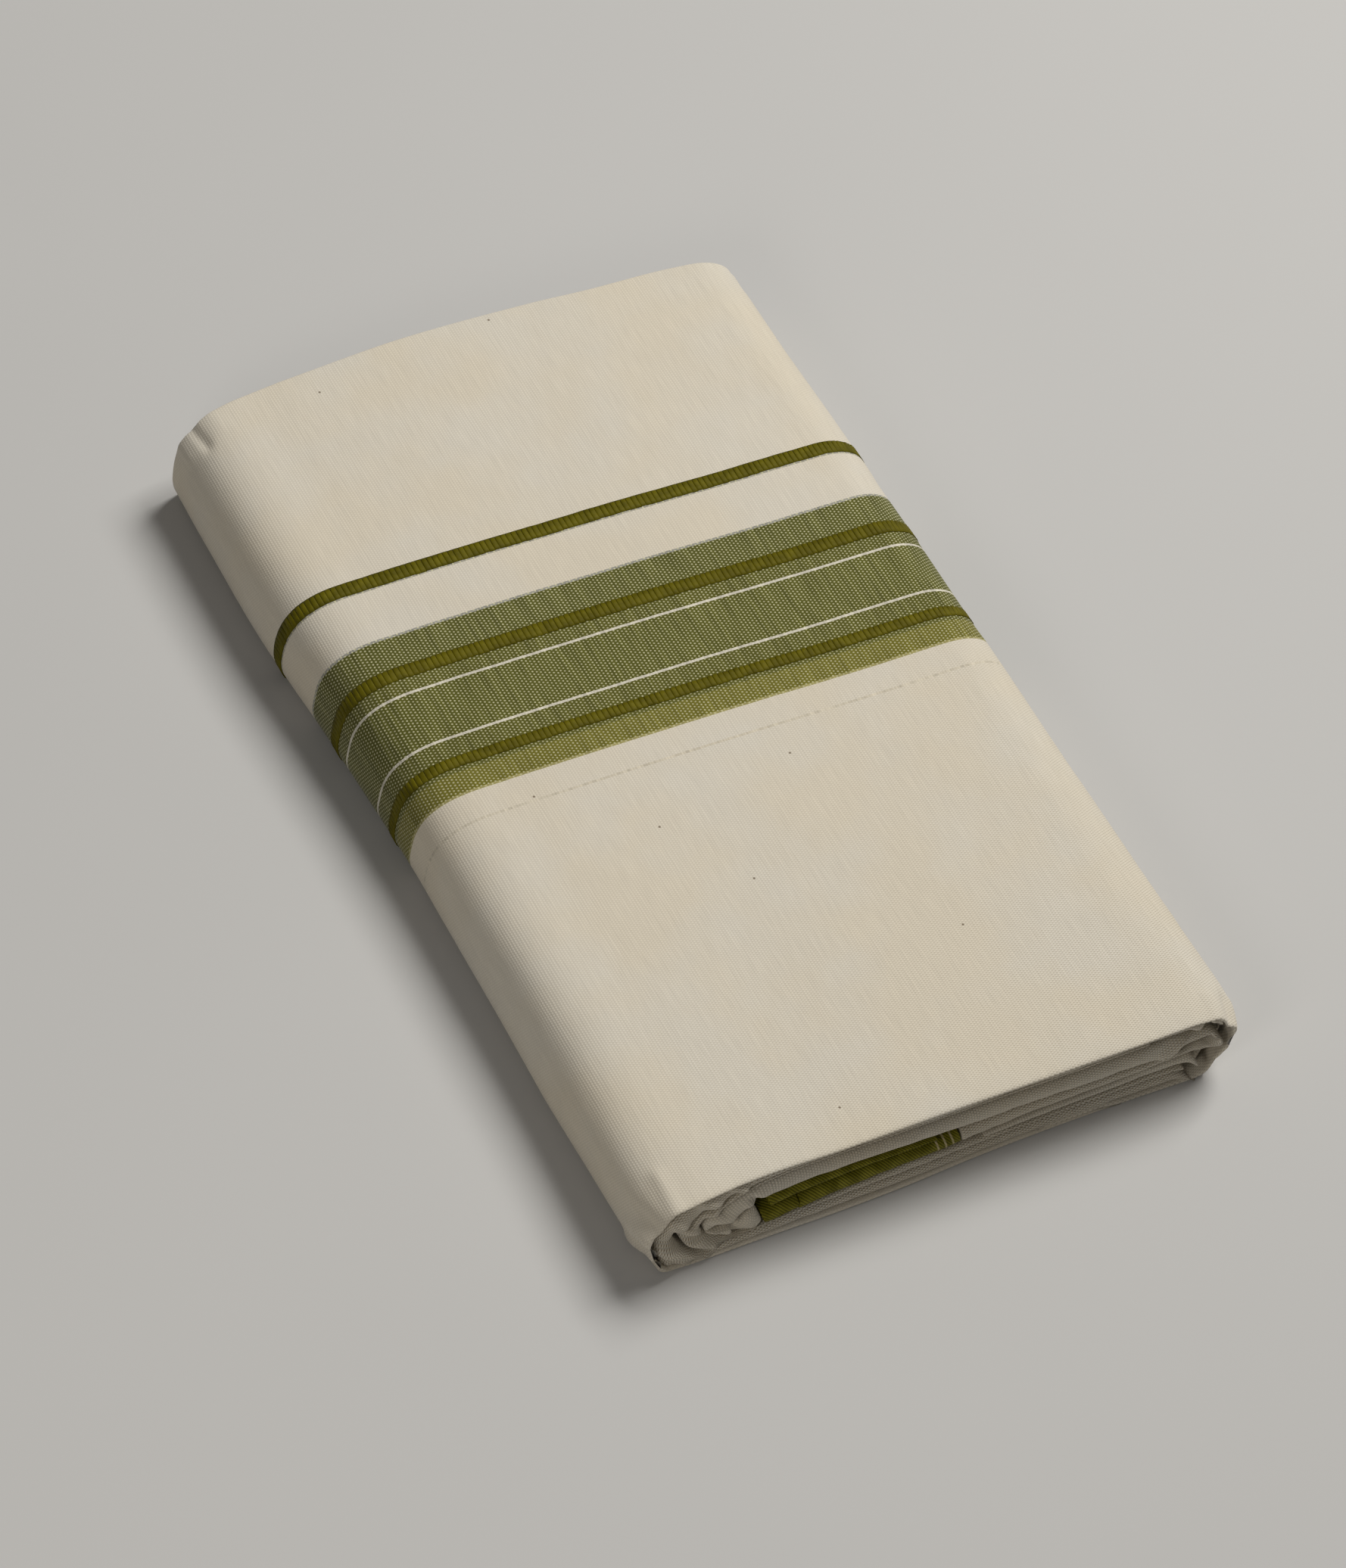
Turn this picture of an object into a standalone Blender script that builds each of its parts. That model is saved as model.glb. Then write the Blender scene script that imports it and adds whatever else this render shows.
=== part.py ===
# A new cotton dhoti, folded into a flat packet. The cloth is one straight woven length with no sewing:
# its width is folded in four, and the strip so made is wound round itself. X runs across the packet,
# Y along it from the near end (the open folds) to the far end, and Z up from the surface it lies on.

import bpy
import bmesh
import math
from mathutils import Vector

MM = 0.001

# The packet, over the cloth
WIDTH = 199.8 * MM
LENGTH = 326.0 * MM
NEAR_HEIGHT = 32.0 * MM
FAR_HEIGHT = 33.8 * MM
NEAR_CROWN = 0.6 * MM      # how far the middle of the top stands above its long sides
FAR_CROWN = 2.6 * MM

# One stretch of the strip is four layers of cloth, so it is a wall and not a film
WRAP_WALL = 1.3 * MM
GAP = 0.3 * MM             # between stretches of cloth that touch

# The long sides of the wrap are rounded: how far the round goes in from the side, and the height of the
# widest place. A power of 2 is an ellipse, and a higher one is squarer.
LEFT_TOP_ROUND = 24.0 * MM
LEFT_TOP_POWER = 2.8
RIGHT_TOP_ROUND = 20.0 * MM
RIGHT_TOP_POWER = 2.3
RIGHT_WIDEST = 16.0 * MM
# These change from the near end (first) to a fifth of the length (second) and then stay
LEFT_WIDEST = (17.0 * MM, 11.0 * MM)
LEFT_BASE_ROUND = (8.5 * MM, 5.5 * MM)
RIGHT_BASE_ROUND = (11.0 * MM, 9.0 * MM)
SETTLED = 0.2

# Places along the packet, from 0 at the near end to 1 at the far end, where its section is set out
STATIONS = (0.03, 0.08, 0.2, 0.35, 0.5, 0.65, 0.8, 0.92)
# The round fold at each end of the wall: how far in, from 0 to 1, and the share of the wall there
END_FOLD = ((0.0, 0.35), (0.0012, 0.8), (0.004, 1.0))
TOP_SHARES = (0.125, 0.25, 0.375, 0.5, 0.625, 0.75, 0.875)    # points across the top of a section
BASE_PLACES = (52.0, 20.0, -20.0, -60.0)                      # points across its underside, in mm

# Where the outer turn ends under the packet, and the length of cloth that is lapped over it
LAP_EDGE_X = BASE_PLACES[0] * MM
LAP_SLOPE = 9.0 * MM
LAP_LENGTH = 20.0 * MM
LAP_BEND = 0.55            # how far up the slope its middle point lies

# How far each end's edge lies behind the packet's full length, by place across, in mm. The near end is
# a little skewed, and its top edge and its base edge differ. The far end is bowed.
NEAR_TOP = {
    "x": (-99, -70, -50, -30, -10, 20, 48, 66, 84, 99),
    "setback": (2.9, 3.1, 3.4, 3.1, 2.4, 2.0, 1.3, 1.0, 0.4, 0.0),
}
NEAR_BASE = {
    "x": (-99, -88, -77, -52, -25, -4, 35, 53, 72, 89, 99),
    "setback": (3.2, 3.1, 2.0, 1.7, 1.9, 2.4, 4.0, 3.9, 2.7, 2.0, 1.9),
}
FAR_EDGE = {
    "x": (-99, -88, -75, -55, -25, 0, 25, 45, 70, 88, 99),
    "setback": (5.6, 4.0, 2.3, 1.1, 0.0, 0.2, 1.3, 2.7, 3.2, 4.8, 6.2),
}
# How far each long side stands out or is drawn in, by share of the length from the near end, in mm
LEFT_SIDE = {
    "share": (0.0, 0.03, 0.08, 0.2, 0.35, 0.5, 0.65, 0.8, 0.92, 1.0),
    "swell": (-1.3, -1.2, -1.3, -2.1, -3.3, -3.8, -2.3, 0.0, -0.5, -1.3),
}
RIGHT_SIDE = {
    "share": (0.0, 0.03, 0.08, 0.2, 0.35, 0.5, 0.65, 0.8, 0.92, 1.0),
    "swell": (-3.8, -1.2, -0.9, -1.3, -1.0, -0.4, 0.0, -0.5, -1.0, -0.9),
}

# The stretches of the strip that show at the near end. Each follows a path across the packet, with a
# row for each place on it: x and z of the middle of the fold, and half of the fold's thickness, in mm.
# setback is how far its fold lies behind the edge of the outer turn. ends say how round its first and
# last ends are: 1 is a half circle and 0 is cut square.
TURNS = {
    "second_turn": {"setback": 0.9, "ends": (1.0, 1.0), "finish": "cream", "rows": (
        # x, z, half
        (86.5, 8.4, 0.8),
        (91.2, 13.5, 1.0),
        (91.8, 20.0, 1.0),
        (88.2, 25.8, 1.0),
        (79.6, 28.9, 0.9),
        (38.9, 29.2, 1.0),
        (-21.1, 29.2, 1.0),
        (-63.1, 29.0, 1.1),
        (-77.1, 27.6, 2.1),
        (-87.1, 24.0, 2.9),
        (-93.7, 17.2, 2.3),
        (-92.9, 9.8, 2.1),
        (-87.1, 4.7, 1.6),
        (-77.1, 3.0, 1.1),
        (-41.1, 2.9, 1.0),
        (-1.1, 3.6, 1.3),
        (34.9, 4.9, 1.4),
        (64.7, 5.4, 1.5),
        (81.0, 4.9, 1.3),
    )},
    "third_turn": {"setback": 1.9, "ends": (1.0, 1.0), "finish": "cream", "rows": (
        (62.7, 26.9, 0.8),
        (18.9, 27.1, 0.7),
        (-31.1, 27.0, 0.7),
        (-61.1, 26.5, 0.8),
        (-71.1, 24.2, 1.4),
        (-81.1, 19.4, 2.0),
        (-87.3, 14.2, 1.8),
        (-84.9, 9.2, 1.6),
        (-78.1, 6.3, 1.2),
        (-61.1, 5.3, 0.9),
        (-37.1, 5.5, 1.0),
        (-1.1, 6.5, 1.1),
        (34.9, 7.9, 1.3),
        (64.7, 8.9, 1.4),
        (79.1, 8.9, 1.3),
    )},
    "inner_fold": {"setback": 0.5, "ends": (1.0, 0.25), "finish": "cream", "rows": (
        (-78.6, 14.9, 1.3),
        (-71.1, 17.2, 2.4),
        (-61.1, 20.7, 2.9),
        (-48.1, 22.5, 2.8),
        (-30.1, 23.3, 2.3),
        (-11.1, 22.8, 2.9),
        (28.9, 22.2, 3.1),
        (60.8, 22.2, 2.8),
        (78.1, 21.6, 2.0),
        (86.4, 20.0, 1.3),
        (88.9, 17.4, 1.1),
        (86.0, 15.4, 1.2),
        (76.2, 15.7, 1.4),
        (48.9, 15.3, 2.1),
        (26.9, 14.8, 2.4),
        (5.7, 13.6, 2.3),
    )},
    "inner_tongue": {"setback": 0.9, "ends": (1.0, 1.0), "finish": "cream", "rows": (
        (-76.3, 10.6, 1.1),
        (-70.1, 9.2, 2.1),
        (-63.6, 9.3, 2.2),
    )},
    "middle_fold": {"setback": 1.6, "ends": (1.0, 1.0), "finish": "cream", "rows": (
        (28.9, 10.6, 0.6),
        (46.9, 11.5, 0.7),
        (64.7, 12.0, 0.8),
        (81.9, 12.2, 0.7),
    )},
    "border_end_upper": {"setback": 0.8, "ends": (0.25, 0.25), "finish": "green", "rows": (
        (-58.6, 15.2, 2.2),
        (-47.1, 16.2, 2.0),
        (-30.1, 18.3, 1.7),
        (-13.1, 18.8, 0.7),
    )},
    "border_end_lower": {"setback": 0.2, "ends": (0.25, 0.25), "finish": "green", "rows": (
        (-60.3, 9.3, 2.6),
        (-55.1, 9.8, 2.6),
        (-50.5, 10.2, 2.6),
    )},
    "border_end_main": {"setback": 0.5, "ends": (0.25, 0.25), "finish": "green", "rows": (
        (-48.8, 10.5, 2.6),
        (-29.1, 12.6, 2.8),
        (-11.1, 13.6, 3.0),
        (4.1, 13.7, 2.4),
    )},
}
TURN_DEPTH = 24.0 * MM     # how far in from the near end these stretches are built
PATH_STEPS = 2             # points between two rows
TURN_FOLD = ((0.0, 0.4), (0.3, 0.8), (1.0, 1.0))    # the front fold: how far in, and its thickness

# The hidden layers, one rounded solid that is ridged at its edges, a ridge for each fold
CORE_LAYERS = 9
CORE_GROOVE = 1.3 * MM
CORE_FAR_SETBACK = 1.6 * MM
CORE_PLAN_CORNER = 7.0 * MM
CORE_NEAR_T = STATIONS[1]  # where along the packet its two ends are, from 0 to 1
CORE_FAR_T = 0.97
LAYER_FOLD = ((0.0, CORE_GROOVE), (0.25, 0.0), (0.75, 0.0))    # how far up a layer, and how far in

# Finishes
CREAM = (0.60, 0.52, 0.39)
CREAM_SHADE = (0.50, 0.43, 0.33)
GREEN = (0.16, 0.17, 0.03)

COLLECTION = "dhoti_cloth"
HALF_WIDTH = WIDTH / 2
HALF_LENGTH = LENGTH / 2


def clear_scene():
    for obj in list(bpy.data.objects):
        bpy.data.objects.remove(obj, do_unlink=True)


def make_collection(name):
    collection = bpy.data.collections.new(name)
    bpy.context.scene.collection.children.link(collection)
    return collection


def make_material(name, color, roughness):
    material = bpy.data.materials.new(name)
    material.use_nodes = True
    shader = material.node_tree.nodes["Principled BSDF"]
    shader.inputs["Base Color"].default_value = (*color, 1.0)
    shader.inputs["Roughness"].default_value = roughness
    shader.inputs["Metallic"].default_value = 0.0
    return material


def lerp(a, b, t):
    return a + (b - a) * t


def read_table(xs, values, x):
    """The value at x, on a smooth curve through the rows."""
    last = len(xs) - 1
    if x <= xs[0]:
        return values[0]
    if x >= xs[last]:
        return values[last]
    i = max(k for k in range(last) if xs[k] <= x)
    span = xs[i + 1] - xs[i]
    slopes = []
    for k in (i, i + 1):
        low, high = max(k - 1, 0), min(k + 1, last)
        slopes.append((values[high] - values[low]) / (xs[high] - xs[low]) * span)
    t = (x - xs[i]) / span
    rise = values[i + 1] - values[i]
    return values[i] + t * t * (3 - 2 * t) * rise + t * (1 - t) * ((1 - t) * slopes[0] - t * slopes[1])


def near_edge(x, z):
    """Y of the near end's edge at x, for a height z between the base and the top."""
    top = read_table(NEAR_TOP["x"], NEAR_TOP["setback"], x / MM)
    base = read_table(NEAR_BASE["x"], NEAR_BASE["setback"], x / MM)
    return -HALF_LENGTH + MM * lerp(base, top, min(1.0, max(0.0, z / NEAR_HEIGHT)))


def far_edge(x):
    """Y of the far end's edge at x."""
    return HALF_LENGTH - MM * read_table(FAR_EDGE["x"], FAR_EDGE["setback"], x / MM)


def along(x, z, t):
    """Y at x and z, for t from 0 at the near end to 1 at the far end."""
    return lerp(near_edge(x, z), far_edge(x), t)


def height(t):
    return lerp(NEAR_HEIGHT, FAR_HEIGHT, t)


def crown(x, t):
    """How far the top stands above its long sides at x."""
    share = max(0.0, 1.0 - (x / HALF_WIDTH) ** 2)
    return lerp(NEAR_CROWN, FAR_CROWN, t) * share


def left_width(t):
    """How far the left side lies from the middle."""
    return HALF_WIDTH + MM * read_table(LEFT_SIDE["share"], LEFT_SIDE["swell"], t)


def right_width(t):
    """How far the right side lies from the middle."""
    return HALF_WIDTH + MM * read_table(RIGHT_SIDE["share"], RIGHT_SIDE["swell"], t)


def settle(pair, t):
    """A size that changes near the near end and then stays."""
    return lerp(pair[0], pair[1], min(1.0, t / SETTLED))


def signed_power(value, power):
    return math.copysign(abs(value) ** (2.0 / power), value)


def quarter(cx, cz, rx, rz, start, steps, power=2.0):
    """Points on a quarter of a squared ellipse, clockwise seen from the near end, from the angle start."""
    points = []
    for i in range(steps + 1):
        angle = math.radians(start - 90.0 * i / steps)
        across = signed_power(math.cos(angle), power)
        up = signed_power(math.sin(angle), power)
        points.append((cx + rx * across, cz + rz * up))
    return points


def wrap_path(t, inset):
    """The wrap's section at t, moved in by inset: from its end under the packet, round the left side,
    over the top and down the right side, to the cloth that is lapped over its end."""
    left = left_width(t) - inset
    right = right_width(t) - inset
    top_z = height(t) - inset
    left_z = settle(LEFT_WIDEST, t)
    left_top = LEFT_TOP_ROUND - inset
    left_base = settle(LEFT_BASE_ROUND, t) - inset
    right_top = RIGHT_TOP_ROUND - inset
    right_base = settle(RIGHT_BASE_ROUND, t) - inset
    path = [(x * MM, inset) for x in BASE_PLACES]
    path += quarter(-left + left_base, left_z, left_base, left_z - inset, 270, 5)[:-1]
    path += quarter(-left + left_top, left_z, left_top, top_z - left_z, 180, 9, LEFT_TOP_POWER)
    for share in TOP_SHARES:
        x = lerp(-left + left_top, right - right_top, share)
        path.append((x, top_z + crown(x, t) - crown(right - right_top, t)))
    right_rise = top_z - RIGHT_WIDEST
    path += quarter(right - right_top, RIGHT_WIDEST, right_top, right_rise, 90, 8, RIGHT_TOP_POWER)
    path += quarter(right - right_base, RIGHT_WIDEST, right_base, RIGHT_WIDEST - inset, 0, 5)[1:]
    lift = WRAP_WALL + GAP
    foot = LAP_EDGE_X + LAP_SLOPE
    path += [(foot, inset), (lerp(foot, LAP_EDGE_X, LAP_BEND), inset + lift * LAP_BEND)]
    path += [(LAP_EDGE_X, inset + lift), (LAP_EDGE_X - LAP_LENGTH, inset + lift)]
    return path


def catmull(p0, p1, p2, p3, t):
    point = []
    for a, b, c, d in zip(p0, p1, p2, p3):
        bend = 2 * a - 5 * b + 4 * c - d
        twist = 3 * b - a - 3 * c + d
        point.append(0.5 * (2 * b + (c - a) * t + bend * t ** 2 + twist * t ** 3))
    return tuple(point)


def smooth_rows(rows, steps):
    """The rows with smooth points between them, in metres."""
    rows = [tuple(v * MM for v in row) for row in rows]
    points = []
    for i in range(len(rows) - 1):
        before = rows[max(i - 1, 0)]
        after = rows[min(i + 2, len(rows) - 1)]
        for k in range(steps):
            points.append(catmull(before, rows[i], rows[i + 1], after, k / steps))
    points.append(rows[-1])
    return points


def band_outline(path, share, ends=(1.0, 1.0)):
    """The closed outline of a band round a path of (x, z, half). share scales half."""
    centres = [Vector((x, z)) for x, z, _ in path]
    halves = [half * share for _, _, half in path]
    normals = []
    for i in range(len(centres)):
        ahead = centres[min(i + 1, len(centres) - 1)]
        behind = centres[max(i - 1, 0)]
        tangent = (ahead - behind).normalized()
        normals.append(Vector((-tangent.y, tangent.x)))
    outline = [c + n * h for c, n, h in zip(centres, normals, halves)]
    outline += round_end(centres[-1], normals[-1], halves[-1], ends[1])
    outline += [c - n * h for c, n, h in zip(reversed(centres), reversed(normals), reversed(halves))]
    outline += round_end(centres[0], -normals[0], halves[0], ends[0])
    return outline


def round_end(centre, normal, half, bulge):
    """The points between the two sides at the end of a band, on half an ellipse that bulges out."""
    out = Vector((normal.y, -normal.x))
    points = []
    for degrees in (45, 90, 135):
        angle = math.radians(degrees)
        points.append(centre + (normal * math.cos(angle) + out * math.sin(angle) * bulge) * half)
    return points


def loft(name, rings, material, collection):
    """A closed solid through rings of equal numbers of points, with a cap at each end."""
    bm = bmesh.new()
    rows = [[bm.verts.new(point) for point in ring] for ring in rings]
    count = len(rows[0])
    for lower, upper in zip(rows, rows[1:]):
        for i in range(count):
            j = (i + 1) % count
            bm.faces.new((lower[i], lower[j], upper[j], upper[i]))
    bm.faces.new(rows[0])
    bm.faces.new(rows[-1])
    bmesh.ops.recalc_face_normals(bm, faces=bm.faces)
    mesh = bpy.data.meshes.new(name)
    bm.to_mesh(mesh)
    bm.free()
    mesh.shade_smooth()
    mesh.set_sharp_from_angle(angle=math.radians(50))
    mesh.materials.append(material)
    obj = bpy.data.objects.new(name, mesh)
    collection.objects.link(obj)
    return obj


def build_wrap(material, collection):
    """The outer turn: a wall round the packet, with a round fold at each end of the packet."""
    middle = WRAP_WALL / 2
    stations = list(END_FOLD)
    stations += [(t, 1.0) for t in STATIONS]
    stations += [(1.0 - t, share) for t, share in reversed(END_FOLD)]
    rings = []
    for t, share in stations:
        path = [(x, z, middle) for x, z in wrap_path(t, middle)]
        outline = band_outline(path, share)
        rings.append([(p.x, along(p.x, p.y, t), max(p.y, 0.0)) for p in outline])
    return loft("wrap", rings, material, collection)


def build_turn(name, turn, material, collection):
    """A stretch of the strip at the near end, with its round fold to the front."""
    path = smooth_rows(turn["rows"], PATH_STEPS)
    widest = max(half for _, _, half in path)
    front = turn["setback"] * MM
    rings = []
    for behind, share in TURN_FOLD:
        back = front + behind * widest
        outline = band_outline(path, share, turn["ends"])
        rings.append([(p.x, near_edge(p.x, p.y) + back, p.y) for p in outline])
    back = -HALF_LENGTH + TURN_DEPTH
    rings.append([(p.x, back, p.y) for p in band_outline(path, 1.0, turn["ends"])])
    return loft(name, rings, material, collection)


def side_reach(z, t, width, widest_z, base_round, top_round, power):
    """How far out from the middle the inside of the wrap reaches at height z, on one side."""
    inset = WRAP_WALL + 2 * GAP
    reach = width - inset
    if z < widest_z:
        share = (widest_z - z) / (widest_z - inset)
        inward = base_round - inset
        power = 2.0
    else:
        share = (z - widest_z) / (height(t) - inset - widest_z)
        inward = top_round - inset
    bow = max(0.0, 1.0 - share ** power) ** (1.0 / power)
    return reach - inward + inward * bow


def core_height(t, level):
    base = WRAP_WALL + GAP + WRAP_WALL + GAP
    top = height(t) - WRAP_WALL - 2 * GAP
    return lerp(base, top, level)


def core_sides(t, level, groove):
    """How far the hidden layers reach to the left and to the right at t."""
    z = core_height(t, level)
    left_z = settle(LEFT_WIDEST, t)
    left_base = settle(LEFT_BASE_ROUND, t)
    right_base = settle(RIGHT_BASE_ROUND, t)
    left = side_reach(z, t, left_width(t), left_z, left_base, LEFT_TOP_ROUND, LEFT_TOP_POWER)
    right = side_reach(z, t, right_width(t), RIGHT_WIDEST, right_base, RIGHT_TOP_ROUND, RIGHT_TOP_POWER)
    return left - groove, right - groove


def core_end(t, level, groove):
    """Points across one end of the hidden layers, from the left side to the right, as (x, inward, z).
    inward is how far the round corner of the plan draws back from the end's face."""
    z = core_height(t, level)
    left, right = core_sides(t, level, groove)
    corner = CORE_PLAN_CORNER
    plan = []
    for degrees in (90, 60, 30, 0):
        angle = math.radians(degrees)
        plan.append((-left + corner * (1 - math.sin(angle)), corner * (1 - math.cos(angle))))
    for share in (0.2, 0.4, 0.6, 0.8):
        plan.append((lerp(-left + corner, right - corner, share), 0.0))
    for degrees in (0, 30, 60, 90):
        angle = math.radians(degrees)
        plan.append((right - corner * (1 - math.sin(angle)), corner * (1 - math.cos(angle))))
    edge_crown = crown(HALF_WIDTH - RIGHT_TOP_ROUND, t)
    return [(x, inward, z + level * max(0.0, crown(x, t) - edge_crown)) for x, inward in plan]


def core_ring(level, groove):
    """One ring round the hidden layers. level runs from 0 at the base to 1 at the top."""
    between = STATIONS[2:]
    front = -HALF_LENGTH + TURN_DEPTH + GAP + groove
    ring = [(x, front + inward, z) for x, inward, z in core_end(CORE_NEAR_T, level, groove)]
    for t in between:
        x = core_sides(t, level, groove)[1]
        z = core_height(t, level)
        ring.append((x, along(x, z, t), z))
    for x, inward, z in reversed(core_end(CORE_FAR_T, level, groove)):
        ring.append((x, far_edge(x) - CORE_FAR_SETBACK - groove - inward, z))
    for t in reversed(between):
        x = -core_sides(t, level, groove)[0]
        z = core_height(t, level)
        ring.append((x, along(x, z, t), z))
    return ring


def build_core(material, collection):
    """The layers inside the packet, ridged like a stack of folds at their edges."""
    rings = []
    for layer in range(CORE_LAYERS):
        for share, groove in LAYER_FOLD:
            rings.append(core_ring((layer + share) / CORE_LAYERS, groove))
    rings.append(core_ring(1.0, CORE_GROOVE))
    return loft("core", rings, material, collection)


def main():
    clear_scene()
    parts = make_collection(COLLECTION)
    finishes = {
        "cream": make_material("unbleached_cotton", CREAM, 0.85),
        "shade": make_material("unbleached_cotton_folds", CREAM_SHADE, 0.88),
        "green": make_material("green_border_cotton", GREEN, 0.6),
    }
    build_wrap(finishes["cream"], parts)
    for name, turn in TURNS.items():
        build_turn(name, turn, finishes[turn["finish"]], parts)
    build_core(finishes["shade"], parts)


main()
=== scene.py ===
import math

import bmesh
import bpy
import numpy as np
from mathutils import Matrix, Vector, noise


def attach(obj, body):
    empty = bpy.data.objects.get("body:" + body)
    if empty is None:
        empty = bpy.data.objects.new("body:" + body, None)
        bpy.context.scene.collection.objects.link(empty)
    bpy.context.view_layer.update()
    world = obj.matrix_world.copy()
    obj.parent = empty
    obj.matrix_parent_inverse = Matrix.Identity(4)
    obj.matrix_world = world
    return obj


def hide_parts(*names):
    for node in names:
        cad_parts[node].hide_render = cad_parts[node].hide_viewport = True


# A new cotton dhoti folded into a flat packet. X runs across it, Y along it from the open
# folds at the near end to the far end, Z up from the surface that it lies on.
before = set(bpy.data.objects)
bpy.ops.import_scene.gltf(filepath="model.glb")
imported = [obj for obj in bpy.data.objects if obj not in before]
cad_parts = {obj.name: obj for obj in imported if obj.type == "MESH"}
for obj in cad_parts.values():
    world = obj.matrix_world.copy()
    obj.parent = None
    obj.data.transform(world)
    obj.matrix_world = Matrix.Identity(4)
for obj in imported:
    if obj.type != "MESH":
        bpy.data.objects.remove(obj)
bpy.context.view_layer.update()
mm = 0.001

# the packet's sizes are those of its CAD part, in mm
packet = {
    "halfWidth": 99.9,
    "halfLength": 163.0,
    "nearHeight": 32.0,
    "farHeight": 33.8,
    "nearCrown": 0.6,
    "farCrown": 2.6,
    "wall": 1.3,
    "gap": 0.3,
    "leftTop": (24.0, 2.8),        # how far the round goes in, and how square it is
    "rightTop": (20.0, 2.3),
    "rightWidest": 16.0,
    "leftWidest": (17.0, 11.0),    # near end, then a fifth of the way along and on
    "leftBase": (8.5, 5.5),
    "rightBase": (11.0, 9.0),
    "settled": 0.2,
    "lapEdge": 52.0,
    "lapSlope": 9.0,
    "lapLength": 20.0,
}
# how many points each stretch of a section has
steps = {"under": 64, "leftBase": 12, "leftTop": 34, "top": 96, "rightTop": 28, "rightBase": 14,
         "foot": 12, "slope": 6, "lap": 8}
# the stretch of a section in which x only grows
leftmost = steps["under"] + steps["leftBase"]
overTop = slice(leftmost, leftmost + steps["leftTop"] + steps["top"])
# how far each end's edge lies behind the full length, by place across
edges = {
    "nearTop": ((-99, -80, -70, -55, -40, 0, 25, 60, 82, 99),
                (2.9, 3.4, 4.0, 3.9, 3.2, 2.4, 1.9, 1.1, 1.0, 0.2)),
    "nearBase": ((-99, -91, -81, -57, -37, -13, 12, 39, 66, 84, 99),
                 (3.3, 3.2, 2.7, 2.3, 1.8, 1.8, 2.7, 2.8, 2.2, 1.5, 1.6)),
    "far": ((-99, -88, -75, -55, -25, 0, 25, 45, 70, 88, 99),
            (5.6, 4.0, 2.3, 1.1, 0.0, 0.2, 1.3, 2.7, 3.2, 4.8, 6.2)),
}
# how far each long side stands out or is drawn in, by share of the length
sides = {
    "share": (0.0, 0.03, 0.08, 0.2, 0.35, 0.5, 0.65, 0.8, 0.92, 1.0),
    "left": (-1.3, -1.2, -1.3, -2.1, -3.3, -3.8, -2.3, 0.0, -0.5, -1.3),
    "right": (-3.8, -1.2, -0.9, -1.3, -1.0, -0.4, 0.0, -0.5, -1.0, -0.9),
}


def lerp(a, b, t):
    return a + (b - a) * t


def readTable(xs, values, x):
    # a smooth curve through the rows
    last = len(xs) - 1
    if x <= xs[0]:
        return values[0]
    if x >= xs[last]:
        return values[last]
    i = max(k for k in range(last) if xs[k] <= x)
    span = xs[i + 1] - xs[i]
    slopes = []
    for k in (i, i + 1):
        low, high = max(k - 1, 0), min(k + 1, last)
        slopes.append((values[high] - values[low]) / (xs[high] - xs[low]) * span)
    t = (x - xs[i]) / span
    rise = values[i + 1] - values[i]
    bend = t * (1 - t) * ((1 - t) * slopes[0] - t * slopes[1])
    return values[i] + t * t * (3 - 2 * t) * rise + bend


def nearEdge(x, z):
    share = min(1.0, max(0.0, z / packet["nearHeight"]))
    base, top = readTable(*edges["nearBase"], x), readTable(*edges["nearTop"], x)
    return lerp(base, top, share) - packet["halfLength"]


def farEdge(x):
    return packet["halfLength"] - readTable(*edges["far"], x)


def sideWidth(side, t):
    return packet["halfWidth"] + readTable(sides["share"], sides[side], t)


def settle(pair, t):
    return lerp(pair[0], pair[1], min(1.0, t / packet["settled"]))


def topHeight(t):
    return lerp(packet["nearHeight"], packet["farHeight"], t)


def crown(x, t):
    high = lerp(packet["nearCrown"], packet["farCrown"], t)
    return high * max(0.0, 1.0 - (x / packet["halfWidth"]) ** 2)


def quarter(cx, cz, rx, rz, start, count, power=2.0):
    # a quarter of an oval, or of a squarer one for a higher power, clockwise from start
    points = []
    for i in range(count + 1):
        angle = math.radians(start - 90.0 * i / count)
        across, up = math.cos(angle), math.sin(angle)
        points.append((cx + rx * math.copysign(abs(across) ** (2 / power), across),
                       cz + rz * math.copysign(abs(up) ** (2 / power), up)))
    return points


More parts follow.
